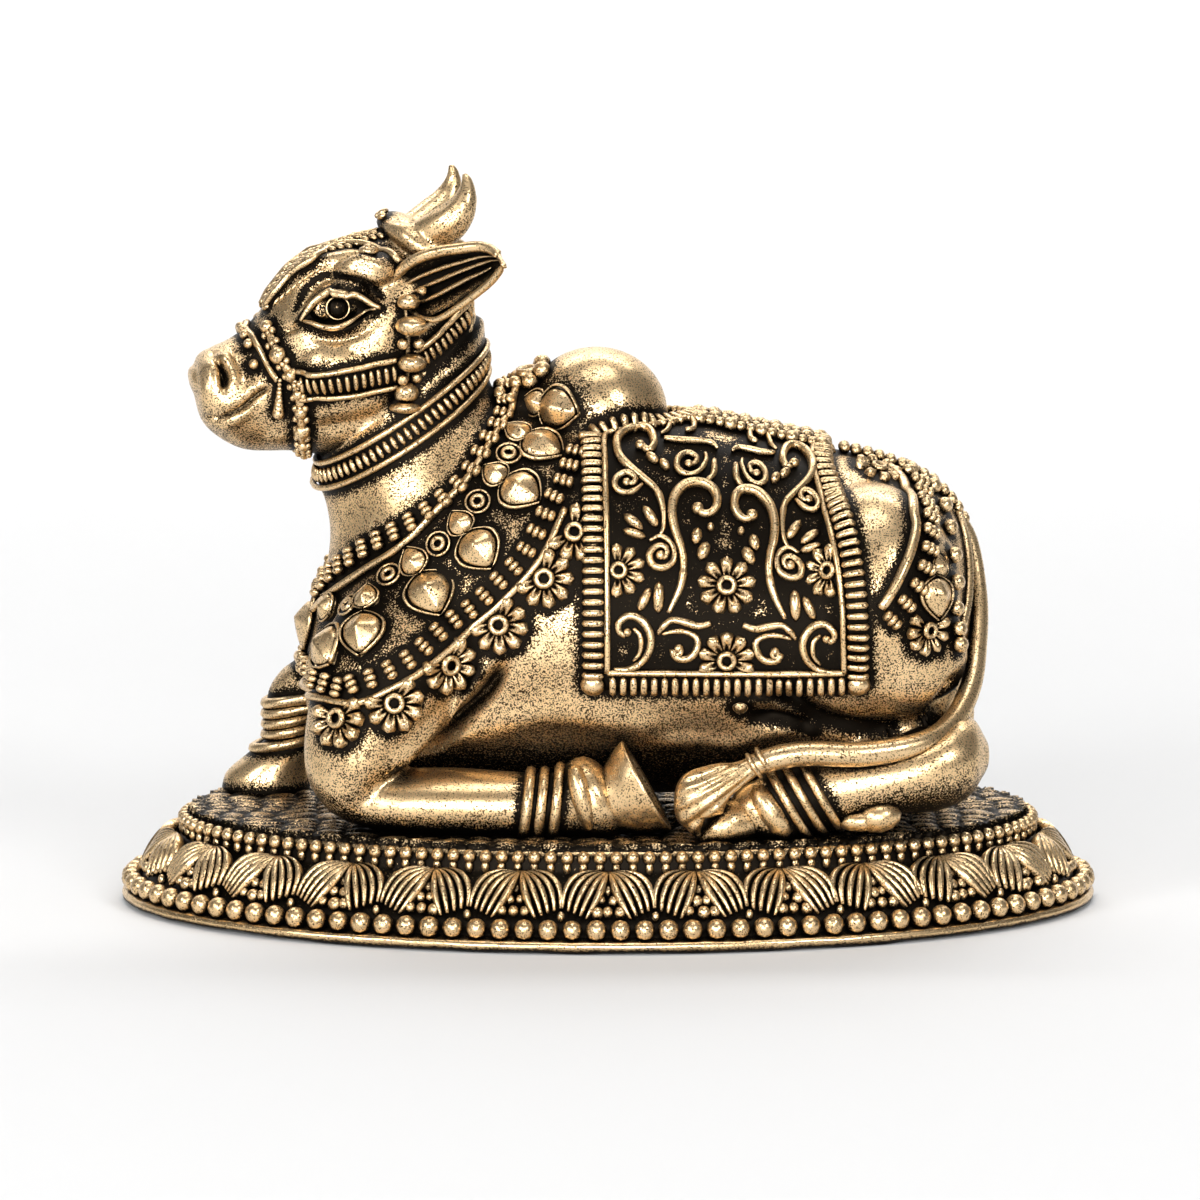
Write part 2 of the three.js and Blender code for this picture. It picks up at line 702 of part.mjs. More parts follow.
// Rump harness: straps, a drop and a flower
const rumpHarness = flanks((side) => [
  strip(
    flankLine(findCloth, [[28.6, 32.2], [30.6, 29.4], [29.8, 25.6], [27.8, 22.6]], side, BAND_STEP),
    sharp(LINE_WIDTH, LINE_RAISE),
  ),
  strip(
    flankLine(findCloth, [[31.8, 30.0], [32.4, 27.0], [31.2, 23.4], [28.4, 20.6]], side, BAND_STEP),
    sharp(2 * LINE_WIDTH, BEAD_RAISE),
  ),
  setOn(pendant, onFlank(findCloth, 33.4, 23.6, side)),
  setOn(plainFlower, onFlank(findCloth, 31.8, 19.8, side)),
]);

const dressedBull = joined([
  bareBull,
  ...harness.map(turnedHead),
  ...necklace,
  saddleCloth,
  ...clothRelief,
  ...rumpHarness,
]);

// The base: an oval drawn in from the outline, where share 1 is the edge of its top
const topInsetAlong = (BASE_LENGTH - TOP_LENGTH) / 2;
const topInsetAcross = (BASE_WIDTH - TOP_WIDTH) / 2;

function oval(count, share, z, bulge = () => 0, shift = 0) {
  return Array.from({ length: count }, (_, k) => {
    const turn = (2 * Math.PI * (k + shift)) / count;
    const along = BASE_LENGTH / 2 - share * topInsetAlong + bulge(k);
    const across = BASE_WIDTH / 2 - share * topInsetAcross + bulge(k);
    return vector(along * Math.cos(turn), across * Math.sin(turn), z);
  });
}

const columns = PETAL_COUNT * BEADS_PER_PETAL;
const plainColumns = columns / 2;
const petalShape = (depth) => (k) => depth * PETAL_RAISE * Math.sin((Math.PI * (k % BEADS_PER_PETAL)) / BEADS_PER_PETAL);
const wallFoot = RIM_HEIGHT + RIM_BEAD;
const ridgeFoot = BASE_HEIGHT - RIDGE_HEIGHT;

const beadTop = oval(columns, 0.32, wallFoot, petalShape(0.3));
beadTop.apexes = oval(columns, 0, RIM_HEIGHT + RIM_BEAD / 2, () => -RIM_BEAD / 8, 0.5);

const plainBase = skinOver(
  [
    oval(plainColumns, 0.1, 0),
    oval(plainColumns, 0, 0.4 * RIM_HEIGHT),
    oval(plainColumns, 0, RIM_HEIGHT),
    oval(columns, 0.3, RIM_HEIGHT + 0.05),
    beadTop,
    oval(columns, 0.64, (wallFoot + ridgeFoot) / 2, petalShape(1)),
    oval(columns, 1, ridgeFoot, petalShape(0.5)),
    oval(plainColumns, 1, ridgeFoot + 0.35 * RIDGE_HEIGHT, () => RIDGE_RAISE),
    oval(plainColumns, 1, BASE_HEIGHT, () => RIDGE_RAISE / 2),
  ],
  vector(0, 0, 0),
  vector(0, 0, BASE_HEIGHT),
);

const brass = new THREE.MeshStandardMaterial({ color: 0xa9803c, roughness: 0.38, metalness: 1 });
const castFigure = plainBase.add(dressedBull);
const figureMesh = new THREE.Mesh(geometryOf(castFigure), brass);
figureMesh.name = "nandi_on_lotus_base";

const figure = new THREE.Group();
figure.add(figureMesh);
export default figure;
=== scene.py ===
from math import cos, exp, hypot, pi, radians, sin, sqrt

import bmesh
import bpy
import numpy as np
from mathutils import Matrix, Vector, noise
from mathutils.bvhtree import BVHTree
from mathutils.kdtree import KDTree


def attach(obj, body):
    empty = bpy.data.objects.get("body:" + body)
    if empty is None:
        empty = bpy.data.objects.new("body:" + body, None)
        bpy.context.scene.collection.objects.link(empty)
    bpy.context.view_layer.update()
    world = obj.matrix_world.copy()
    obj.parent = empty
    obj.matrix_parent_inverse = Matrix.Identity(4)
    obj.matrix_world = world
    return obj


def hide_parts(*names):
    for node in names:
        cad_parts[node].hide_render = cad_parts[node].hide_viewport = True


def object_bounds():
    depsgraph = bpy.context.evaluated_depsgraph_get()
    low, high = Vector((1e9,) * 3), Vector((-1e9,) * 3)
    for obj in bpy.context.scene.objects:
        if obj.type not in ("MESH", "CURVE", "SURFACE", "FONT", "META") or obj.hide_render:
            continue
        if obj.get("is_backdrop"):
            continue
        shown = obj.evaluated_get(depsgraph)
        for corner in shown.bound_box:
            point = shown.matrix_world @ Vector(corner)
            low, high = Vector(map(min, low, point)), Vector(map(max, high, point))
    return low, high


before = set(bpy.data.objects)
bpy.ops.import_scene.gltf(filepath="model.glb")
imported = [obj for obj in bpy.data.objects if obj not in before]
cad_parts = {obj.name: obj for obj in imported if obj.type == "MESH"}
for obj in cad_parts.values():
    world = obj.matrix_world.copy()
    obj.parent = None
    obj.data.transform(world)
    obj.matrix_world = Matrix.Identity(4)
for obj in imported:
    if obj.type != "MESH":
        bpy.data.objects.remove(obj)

cad_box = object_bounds()

# The oval lotus base: a rim plate with a row of beads, a sloping wall of lotus petals, and a top
# plate edged by standing beads. It is cast in brass in one with the bull, and its hollows keep
# the dark patina that was rubbed off the high spots. Sizes here and below are in millimetres.
BASE_LENGTH, BASE_WIDTH, BASE_HEIGHT = 100.0, 62.0, 9.6
TOP_INSET = 6.4
WALL_FOOT, WALL_TOP = (1.9, 3.0), (5.9, 6.9)
PETALS = 26
PETAL_STRANDS = 5
BALL = 0.68
RIM_BEADS, RIM_BEAD = 106, 1.12
EDGE_BEADS = 134
TOP_LEAF = 3.0
UP, DOWN = Vector((0, 0, 1)), Vector((0, 0, -1))


def clamp(value):
    return min(1, max(0, value))


def even_turns(inset, count, shift=0.0):
    """Turns round the oval that are evenly spaced along it."""
    fine = np.linspace(0, 2 * pi, 4001)
    x = (BASE_LENGTH / 2 - inset) * np.cos(fine)
    y = (BASE_WIDTH / 2 - inset) * np.sin(fine)
    run = np.concatenate([[0], np.cumsum(np.hypot(np.diff(x), np.diff(y)))])
    return np.interp((np.arange(count) + shift) / count * run[-1], run, fine)


def on_oval(turn, inset, z):
    return Vector(((BASE_LENGTH / 2 - inset) * cos(turn), (BASE_WIDTH / 2 - inset) * sin(turn), z))


def outward(turn):
    return Vector((cos(turn) / BASE_LENGTH, sin(turn) / BASE_WIDTH, 0)).normalized()


def moved_grid(across, along, place):
    """A grid from edge to edge of 0 to 1 both ways, with each of its points moved to its place."""
    bm = bmesh.new()
    bmesh.ops.create_grid(bm, x_segments=across, y_segments=along, size=0.5)
    for vert in bm.verts:
        vert.co = place(vert.co.x + 0.5, vert.co.y + 0.5)
    bmesh.ops.remove_doubles(bm, verts=bm.verts, dist=1e-4)
    return bm


def add_to(bm, other):
    """Adds a mesh to another and frees it."""
    mesh = bpy.data.meshes.new("part")
    other.to_mesh(mesh)
    other.free()
    bm.from_mesh(mesh)
    bpy.data.meshes.remove(mesh)


def close_holes(bm):
    bmesh.ops.holes_fill(bm, edges=[edge for edge in bm.edges if edge.is_boundary], sides=0)


def add_closed(bm, other):
    close_holes(other)
    add_to(bm, other)


def shape_of(bm):
    """Keeps a small mesh to be stamped many times."""
    mesh = bpy.data.meshes.new("shape")
    bm.to_mesh(mesh)
    bm.free()
    return mesh


def stamp(bm, shape, matrix):
    copy = shape.copy()
    copy.transform(matrix)
    bm.from_mesh(copy)
    bpy.data.meshes.remove(copy)


round_one = bmesh.new()
bmesh.ops.create_uvsphere(round_one, u_segments=8, v_segments=6, radius=1)
ROUND = shape_of(round_one)


def bead(bm, place, half, axes=None):
    """A round bead, or an oval one where half is its three half sizes along the axes given."""
    half = half if hasattr(half, "__len__") else (half, half, half)
    turn = Matrix(axes).transposed().to_4x4() if axes else Matrix.Identity(4)
    stamp(bm, ROUND, Matrix.Translation(place) @ turn @ Matrix.Diagonal((*half, 1)))


turns_round = even_turns(3, 401)
turns_round[-1] = 2 * pi
wall_normal = Vector((WALL_TOP[1] - WALL_FOOT[1], WALL_TOP[0] - WALL_FOOT[0])).normalized()
FOOT_PROFILE = [(1.2, 0.0), (0.5, 0.12), (0.08, 0.42), (0.0, 0.8), (0.1, 1.15), (0.5, 1.3), (1.3, 1.4),
                (1.95, 1.6), (2.05, 2.4)]
WALL_PROFILE = [(2.3, 3.0), (3.5, 4.1), (4.8, 5.5), (6.3, 6.8)]
HEAD_PROFILE = [(6.5, 7.3), (6.6, 8.2), (6.8, 8.9), (7.3, 9.2)]
BASE_PROFILE = FOOT_PROFILE + WALL_PROFILE + HEAD_PROFILE
UNDER_ROWS, RIM_ROWS = 2, 8
END_DRAWN_IN = 2.6


def base_place(u, v):
    turn = turns_round[round(u * (len(turns_round) - 1))]
    row = round(v * (len(BASE_PROFILE) - 1))
    inset, z = BASE_PROFILE[row]
    if row < UNDER_ROWS:
        inset += END_DRAWN_IN * max(0, abs(cos(turn)) - 0.55) / 0.45
        inset += 0.5 * noise.noise(Vector((9 * cos(turn), 9 * sin(turn), 0)))
    elif row < RIM_ROWS:
        z += 0.12 * noise.noise(Vector((14 * cos(turn), 14 * sin(turn), row)))
    return on_oval(turn, inset, z)


base = moved_grid(len(turns_round) - 1, len(BASE_PROFILE) - 1, base_place)
close_holes(base)


def on_wall(petal, across, down, lift):
    """A place on the sloping wall: across a petal from -1 to 1, down it from 0 at its top to 1."""
    turn = petal_turns[petal] + across * (petal_turns[petal + 1] - petal_turns[petal]) / 2
    up = 1 - down
    inset = WALL_FOOT[0] + up * (WALL_TOP[0] - WALL_FOOT[0])
    z = WALL_FOOT[1] + up * (WALL_TOP[1] - WALL_FOOT[1])
    return on_oval(turn, inset, z) + lift * (outward(turn) * wall_normal[0] + UP * wall_normal[1])


petal_turns = list(even_turns(4, PETALS, 0.5)) + [2 * pi + even_turns(4, PETALS, 0.5)[0]]
petals = bmesh.new()
for petal in range(PETALS):
    for side in (-1, 1):
        for k in range(PETAL_STRANDS):
            share = k / (PETAL_STRANDS - 1)
            bend = (0.10 + 0.92 * share, 0.45 - 0.44 * share)
            end = (0.46 + 0.52 * share, 0.98 - 0.22 * share)

            def strand_place(u, t):
                across = side * (0.04 * (1 - t) ** 2 + 2 * t * (1 - t) * bend[0] + t * t * end[0])
                down = 2 * t * (1 - t) * bend[1] + t * t * end[1]
                thick = 0.16 + 0.32 * sin(pi * min(1, 0.1 + 0.9 * t)) ** 0.8
                turn = 2 * pi * u
                lift = 0.35 + 0.45 * sin(pi * t) + 1.6 * thick * sin(turn)
                return on_wall(petal, across + side * thick * cos(turn) / 4.7, down, lift)

            add_closed(petals, moved_grid(6, 9, strand_place))
    for row, (down, count) in enumerate(((0.38, 1), (0.60, 2), (0.84, 3))):
        for k in range(count):
            chance = noise.noise(Vector((petal * 1.7, k * 2.3, row * 1.3)))
            across = (k - (count - 1) / 2 + 0.3 * chance) * 0.25
            bead(petals, on_wall(petal, across, down + 0.05 * chance, 0.3), BALL * (0.94 + 0.3 * chance))
    bead(petals, on_wall(petal, 1.0, 0.9, 0.0), (0.42, 0.42, 0.6))

beads = bmesh.new()
for k, turn in enumerate(even_turns(1, RIM_BEADS)):
    size = RIM_BEAD * (0.96 + 0.09 * noise.noise(Vector((k * 0.7, 3, 5))))
    bead(beads, on_oval(turn, 1.0, 2.3), size)

# The standing beads of the top edge, each on a short stem
for turn in even_turns(TOP_INSET, EDGE_BEADS):
    out = outward(turn)
    axes = (Vector((-out.y, out.x, 0)), out, UP)
    bead(beads, on_oval(turn, TOP_INSET + 0.1, 8.5), (0.7, 0.75, 0.74), axes)
    bead(beads, on_oval(turn, TOP_INSET - 0.05, 7.5), (0.46, 0.5, 0.7), axes)


def leaf_height(x, y):
    """Low curled leaves all over the top plate."""
    along = x + 2.2 * noise.noise(Vector((x * 0.16, y * 0.16, 1.7)))
    over = y + 2.2 * noise.noise(Vector((x * 0.16, y * 0.16, 8.1)))
    row = along / TOP_LEAF
    curl = over / (0.75 * TOP_LEAF) + (0.5 if int(row // 1) % 2 else 0)
    cell = (row % 1 - 0.5, curl % 1 - 0.5)
    reach = hypot(1.6 * cell[0], 2.0 * cell[1])
    vein = 0.5 + 0.5 * cos(7 * reach)
    return clamp(2.4 * (1 - reach)) * (0.7 + 0.3 * vein)


def top_place(u, v):
    x = (u - 0.5) * (BASE_LENGTH - 2 * TOP_INSET)
    y = (v - 0.5) * (BASE_WIDTH - 2 * TOP_INSET)
    return Vector((x, y, BASE_HEIGHT - 0.15 + 0.5 * leaf_height(x, y)))


top = moved_grid(230, 140, top_place)
TOP_EDGE = TOP_INSET + 0.4
top_half = (BASE_LENGTH / 2 - TOP_EDGE, BASE_WIDTH / 2 - TOP_EDGE)
outside = [vert for vert in top.verts if (vert.co.x / top_half[0]) ** 2 + (vert.co.y / top_half[1]) ** 2 > 1]
bmesh.ops.delete(top, geom=outside, context="VERTS")
rim = [edge for edge in top.edges if edge.is_boundary]
skirt = bmesh.ops.extrude_edge_only(top, edges=rim)["geom"]
for vert in skirt:
    if isinstance(vert, bmesh.types.BMVert):
        vert.co.z = BASE_HEIGHT - 1.2
close_holes(top)


# The finish, built once: bare brass with a warm tone that varies, fine dark grain, and black-brown
# patina where Openness, from the material's own Ambient Occlusion node, is low.
def patina_group():
    group = bpy.data.node_groups.new("worn brass and patina", "ShaderNodeTree")
    face = group.interface
    for name, value in (("Openness", 1.0), ("Polish", 0.3), ("Wash", 0.0)):
        face.new_socket(name=name, in_out="INPUT", socket_type="NodeSocketFloat").default_value = value
    face.new_socket(name="Color", in_out="OUTPUT", socket_type="NodeSocketColor")
    for name in ("Roughness", "Height"):
        face.new_socket(name=name, in_out="OUTPUT", socket_type="NodeSocketFloat")
    nodes, links = group.nodes, group.links
    given, given_back = nodes.new("NodeGroupInput"), nodes.new("NodeGroupOutput")
    place = nodes.new("ShaderNodeTexCoord").outputs["Object"]

    def grain(scale, detail, rough=0.55):
        node = nodes.new("ShaderNodeTexNoise")
        node.inputs["Scale"].default_value = scale
        node.inputs["Detail"].default_value = detail
        node.inputs["Roughness"].default_value = rough
        links.new(place, node.inputs["Vector"])
        return node.outputs["Fac"]

    def math(kind, a, b=None, c=None):
        node = nodes.new("ShaderNodeMath")
        node.operation = kind
        for socket, value in zip(node.inputs, (a, b, c)):
            if isinstance(value, (int, float)):
                socket.default_value = value
            elif value is not None:
                links.new(value, socket)
        return node.outputs[0]

    def ramp(value, low, high, start=0.0, end=1.0):
        node = nodes.new("ShaderNodeMapRange")
        node.interpolation_type = "SMOOTHSTEP"
        for name, number in (("From Min", low), ("From Max", high), ("To Min", start), ("To Max", end)):
            node.inputs[name].default_value = number
        links.new(value, node.inputs["Value"])
        return node.outputs["Result"]

    def mixed(factor, a, b, kind="MIX"):
        node = nodes.new("ShaderNodeMix")
        node.data_type = "RGBA"
        node.blend_type = kind
        links.new(factor, node.inputs["Factor"])
        for name, value in (("A", a), ("B", b)):
            socket = [s for s in node.inputs if s.name == name and s.type == "RGBA"][0]
            if isinstance(value, tuple):
                socket.default_value = (*value, 1)
            else:
                links.new(value, socket)
        return [s for s in node.outputs if s.type == "RGBA"][0]

    fine = grain(6000, 2, 0.6)
    middle = grain(1000, 3)
    broad = grain(130, 3)
    patchy = math("MULTIPLY", math("SUBTRACT", middle, 0.5), 0.35)
    bare = ramp(math("ADD", given.outputs["Openness"], patchy), 0.34, 0.82)
    covered = math("SUBTRACT", 1.0, bare)
    matte = math("SUBTRACT", 1.0, given.outputs["Polish"])
    speck_edge = math("MULTIPLY_ADD", matte, 0.13, math("MULTIPLY_ADD", covered, 0.24, 0.325))
    speck_edge = math("MULTIPLY_ADD", given.outputs["Wash"], 0.36,
                      math("MULTIPLY_ADD", patchy, 0.5, speck_edge))
    speck = ramp(math("SUBTRACT", fine, speck_edge), -0.02, 0.05)
    clean = math("MULTIPLY", speck, ramp(given.outputs["Openness"], 0.15, 0.55))
    tone = mixed(broad, (0.76, 0.51, 0.24), (0.96, 0.715, 0.425))
    warm = mixed(bare, (0.20, 0.105, 0.03), tone)
    # The third input carries patina and, on the bull's skins, painted shade as well; it dulls and darkens
    # the colour.
    clear_of_patina_and_shade = math("MULTIPLY", bare, ramp(given.outputs["Wash"], 0.0, 0.4, 1.0, 0.0))
    dull = mixed(clear_of_patina_and_shade, (0.009, 0.007, 0.005), (0.055, 0.034, 0.017))
    links.new(mixed(clean, dull, warm), given_back.inputs["Color"])
    shine = math("MULTIPLY_ADD", matte, 0.14, 0.21)
    links.new(math("MULTIPLY_ADD", math("SUBTRACT", 1.0, clean), 0.2, shine), given_back.inputs["Roughness"])
    links.new(math("MULTIPLY_ADD", middle, 0.6, speck), given_back.inputs["Height"])
    return group


worn_brass = patina_group()
GRAIN_STRENGTH, GRAIN_HEIGHT = 0.5, 0.00006


def brass_finish(name, polish=0.3, reach=1.3, painted=False):
    """A brass material: reach is how far a hollow's patina spreads, in millimetres. A painted piece
    carries its polish, and its patina together with any painted shade, in its own attributes."""
    material = bpy.data.materials.new(name)
    material.use_nodes = True
    nodes, links = material.node_tree.nodes, material.node_tree.links
    shader = nodes["Principled BSDF"]
    hollow = nodes.new("ShaderNodeAmbientOcclusion")
    hollow.samples = 8
    hollow.inputs["Distance"].default_value = reach / 1000
    finish = nodes.new("ShaderNodeGroup")
    finish.node_tree = worn_brass
    finish.inputs["Polish"].default_value = polish
    links.new(hollow.outputs["AO"], finish.inputs["Openness"])
    for channel in ("Polish", "Wash") if painted else ():
        worn = nodes.new("ShaderNodeAttribute")
        worn.attribute_name = channel.lower()
        links.new(worn.outputs["Fac"], finish.inputs[channel])
    dent = nodes.new("ShaderNodeBump")
    dent.inputs["Strength"].default_value = GRAIN_STRENGTH
    dent.inputs["Distance"].default_value = GRAIN_HEIGHT
    links.new(finish.outputs["Height"], dent.inputs["Height"])
    links.new(finish.outputs["Color"], shader.inputs["Base Color"])
    links.new(finish.outputs["Roughness"], shader.inputs["Roughness"])
    shader.inputs["Metallic"].default_value = 1
    links.new(dent.outputs["Normal"], shader.inputs["Normal"])
    return material


def in_scene(name, data):
    """A new object of the scene."""
    thing = bpy.data.objects.new(name, data)
    bpy.context.scene.collection.objects.link(thing)
    return thing


def cast_piece(name, bm, finish, lift=BASE_HEIGHT):
    """Makes a mesh in millimetres a piece of the casting, in metres, riding on the one body. The
    bull's own pieces are laid out above the base and are lifted on to it."""
    bmesh.ops.recalc_face_normals(bm, faces=bm.faces)
    bmesh.ops.translate(bm, vec=(0, 0, lift), verts=bm.verts)
    bmesh.ops.scale(bm, vec=(0.001, 0.001, 0.001), verts=bm.verts)
    mesh = bpy.data.meshes.new(name)
    bm.to_mesh(mesh)
    bm.free()
    mesh.polygons.foreach_set("use_smooth", [True] * len(mesh.polygons))
    mesh.materials.append(finish)
    piece = in_scene(name, mesh)
    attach(piece, "root")
    return piece


ornament_brass = brass_finish("ornament brass", polish=0.45, reach=1.15)
polished_brass = brass_finish("polished brass", polish=0.4, reach=1.5)
lotus_base = cast_piece("lotus_base", base, brass_finish("base plate brass", reach=1.6, painted=True), 0)


def paint(piece, name, shade):
    """Keeps a shade from 0 to 1 on a piece's skin: a number, or a function of each place, in
    millimetres, and its normal."""
    verts = piece.data.vertices
    if callable(shade):
        values = [shade(vert.co * 1000, vert.normal) for vert in verts]
    else:
        values = [shade] * len(verts)
    piece.data.attributes.new(name, "FLOAT", "POINT").data.foreach_set("value", values)


def wall_wash(co, normal):
    return 0.8 if 1.5 < co.z < 8.6 and hypot(co.x / 48.4, co.y / 29.4) < 1 else 0.0


paint(lotus_base, "wash", wall_wash)
paint(lotus_base, "polish", 0.6)
cast_piece("lotus_petals", petals, ornament_brass, 0)
cast_piece("base_beads", beads, ornament_brass, 0)
base_top = cast_piece("base_top", top, brass_finish("base top brass", reach=0.8, painted=True), 0)
paint(base_top, "wash", lambda co, normal: 1 - clamp((co.z - BASE_HEIGHT + 0.1) / 0.45))
paint(base_top, "polish", 0.4)

# The bull itself, cast in brass: neck, trunk, hump and folded legs flow into each other.
# It is laid out above the base's top from ovals along each form, joined and smoothed like wax.
SKIN_VOXEL = 0.42
TRUNK = [
    [-28.0, 38.5, -12.6, 50.0, 7.6, 0],
    [-29.8, 34.6, -12.4, 46.6, 8.4, 0],
    [-28.8, 31.3, -12.0, 43.6, 8.8, 0],
    [-28.4, 27.9, -10.2, 41.6, 9.8, 0],
    [-29.0, 23.8, -6.4, 41.2, 11.4, 0],
    [-30.2, 19.6, -1.8, 40.4, 13.4, 0],
    [-31.0, 14.5, 3.3, 40.0, 15.4, 0],
    [-30.6, 9.0, 9.4, 39.6, 16.6, 0],
    [-26.5, 3.0, 15.4, 38.4, 17.2, 0],
    [-14.0, 1.5, 21.0, 37.2, 17.4, 0],
    [2.0, 1.5, 27.2, 35.8, 17.6, 0],
    [16.0, 1.5, 32.4, 33.6, 17.2, 0],
    [27.0, 2.0, 35.6, 30.2, 14.6, 0],
    [33.4, 4.0, 37.0, 26.0, 10.6, 0],
    [36.0, 9.0, 37.4, 19.6, 5.4, 0],
]
SKULL = [
    [-42.2, 42.8, -42.2, 45.4, 3.2, 0],
    [-41.4, 40.0, -41.7, 46.8, 5.0, 0],
    [-39.5, 38.2, -40.2, 47.6, 5.6, 0],
    [-37.2, 37.1, -38.5, 48.4, 5.5, 0],
    [-34.8, 36.9, -37.0, 49.5, 5.4, 0],
    [-32.8, 36.9, -35.4, 51.2, 6.2, 0],
    [-31.2, 36.7, -33.8, 53.4, 7.2, 0],
    [-28.8, 36.4, -31.4, 56.0, 8.4, 0],
    [-26.1, 36.6, -28.6, 57.6, 9.0, 0],
    [-22.2, 38.2, -24.6, 58.8, 9.2, 0],
    [-18.1, 42.6, -19.6, 59.2, 7.8, 0],
    [-15.4, 46.0, -16.2, 57.0, 5.6, 0],
]
HEAD_TURN = radians(8)
NECK_AXIS_X = -20.0
LIMB_TIP = 0.6


def smooth_rows(rows, steps):
    """Rows of numbers on a smooth curve through the rows given."""
    rows = np.array(rows, float)
    padded = np.vstack([2 * rows[0] - rows[1], rows, 2 * rows[-1] - rows[-2]])
    found = []
    for i in range(len(rows) - 1):
        a, b, c, d = padded[i:i + 4]
        for t in np.arange(steps) / steps:
            square, cube = 2 * a - 5 * b + 4 * c - d, 3 * b - a - 3 * c + d
            found.append(0.5 * (2 * b + (c - a) * t + square * t * t + cube * t ** 3))
    return np.array(found + [rows[-1]])


def round_ended(count):
    """Each row of a form with its size and its bulge, from one rounded end to the other."""
    order = [(0, sqrt(1 - s * s), -s) for s in (0.999, 0.85, 0.5)]
    order += [(i, 1.0, 0.0) for i in range(count)]
    return order + [(count - 1, sqrt(1 - s * s), s) for s in (0.5, 0.85, 0.999)]


def add_form(bm, stations, tip=0.35, sides=40):
    """A closed form over ovals: low x, low z, high x, high z, half width, y of the middle."""
    rows = smooth_rows(stations, 6)
    middle = (rows[:, 0:2] + rows[:, 2:4]) / 2
    half = (rows[:, 2:4] - rows[:, 0:2]) / 2
    order = round_ended(len(rows))

    def place(u, v):
        i, size, bulge = order[round(v * (len(order) - 1))]
        turn = 2 * pi * u
        x, z = middle[i] + half[i] * size * sin(turn)
        y = rows[i, 5] + rows[i, 4] * size * cos(turn)
        if bulge:
            step = middle[1] - middle[0] if i == 0 else middle[-1] - middle[-2]
            x, z = np.array((x, z)) + step / (hypot(*step) or 1) * bulge * tip * rows[i, 4]
        return Vector((x, y, z))

    add_closed(bm, moved_grid(sides, len(order) - 1, place))


def add_limb(bm, stations, steps=6, sides=20):
    """A round limb along its middle line: x, y, z, half thickness, half depth."""
    rows = smooth_rows(stations, steps)
    line = rows[:, 0:3]
    along = np.gradient(line, axis=0)
    along /= np.linalg.norm(along, axis=1)[:, None]
    order = round_ended(len(rows))

    def place(u, v):
        i, size, bulge = order[round(v * (len(order) - 1))]
        forward = Vector(along[i])
        across = Vector((0, 1, 0)) - forward * forward.y
        across.normalize()
        up = forward.cross(across)
        turn = 2 * pi * u
        thick, deep = rows[i, 3] * size, rows[i, 4] * size
        spot = Vector(line[i]) + across * thick * cos(turn) + up * deep * sin(turn)
        return spot + forward * bulge * LIMB_TIP * rows[i, 3]

    add_closed(bm, moved_grid(sides, len(order) - 1, place))


def add_ball(bm, place, half, tilt=0.0):
    matrix = Matrix.Translation(place) @ Matrix.Rotation(tilt, 4, "Y") @ Matrix.Diagonal((*half, 1))
    bmesh.ops.create_uvsphere(bm, u_segments=32, v_segments=20, radius=1, matrix=matrix)


def melted(bm, voxel, rounds):
    """Joins forms that overlap into one skin, and softens where they meet."""
    mesh = bpy.data.meshes.new("forms")
    bm.to_mesh(mesh)
    bm.free()
    forms = in_scene("forms", mesh)
    remesh = forms.modifiers.new("one skin", "REMESH")
    remesh.mode = "VOXEL"
    remesh.voxel_size = voxel
    skin = bmesh.new()
    skin.from_object(forms, bpy.context.evaluated_depsgraph_get())
    bpy.data.objects.remove(forms)
    bpy.data.meshes.remove(mesh)
    for _ in range(rounds):
        bmesh.ops.smooth_vert(
            skin, verts=skin.verts, factor=0.5, use_axis_x=True, use_axis_y=True, use_axis_z=True)
    return skin


def mirrored_form(add, bm, stations, y_column, **more):
    """The same form on the far side."""
    far = [list(row) for row in stations]
    for row in far:
        row[y_column] = -row[y_column]
    add(bm, far, **more)


UPPER_ARM = [
    [-24.0, 26.0, -7.6, 26.0, 5.0, -9.0],
    [-28.4, 19.5, -10.4, 20.5, 6.6, -11.4],
    [-30.0, 13.0, -14.4, 14.6, 6.6, -13.0],
    [-30.6, 8.0, -18.0, 9.6, 6.2, -13.8],
    [-30.0, 4.6, -20.6, 6.6, 5.6, -14.2],
    [-28.0, 1.8, -22.6, 3.6, 4.4, -14.4],
]
FOREARM = [
    [-26.6, 1.0, -26.6, 4.8, 3.8, -14.4],
    [-22.0, -0.2, -22.0, 6.1, 4.6, -15.0],
    [-16.0, -0.6, -16.0, 6.5, 4.6, -15.8],
    [-10.0, -0.6, -10.0, 6.3, 3.9, -16.6],
    [-6.0, -0.4, -6.0, 6.2, 3.2, -17.0],
    [-2.8, -0.6, -2.8, 7.0, 3.6, -17.2],
]
PASTERN = [
    [-4.6, 0.4, -5.0, 6.4, 2.6, -17.2],
    [-2.8, -0.4, -3.8, 7.6, 3.5, -17.4],
    [-0.6, -0.8, -2.2, 8.0, 3.9, -17.5],
    [1.0, -0.2, -0.6, 7.0, 3.3, -17.5],
    [1.8, 1.0, 0.6, 5.6, 2.2, -17.5],
]
FAR_UPPER_ARM = [
    [-20.0, 13.0, -14.0, 24.0, 6.0, 8.0],
    [-27.0, 8.0, -27.4, 17.6, 5.2, 9.0],
    [-31.0, 8.0, -31.4, 14.6, 4.0, 9.2],
    [-33.6, 9.0, -33.4, 12.8, 2.6, 9.2],
]
FAR_CANNON = [
    [-33.8, 12.8, -29.6, 13.0, 3.2, 9.2],
    [-35.4, 10.2, -30.2, 10.4, 2.9, 9.2],
    [-35.5, 5.4, -30.4, 5.2, 2.7, 9.2],
    [-36.2, 3.9, -30.8, 3.6, 3.0, 9.2],
]
FAR_HOOF = [
    [-36.0, 5.0, -30.6, 4.6, 2.7, 9.2],
    [-38.0, 3.4, -30.8, 3.2, 3.5, 9.2],
    [-39.9, 1.7, -31.0, 1.4, 3.9, 9.2],
    [-40.4, -0.4, -31.0, -0.4, 4.0, 9.2],
]
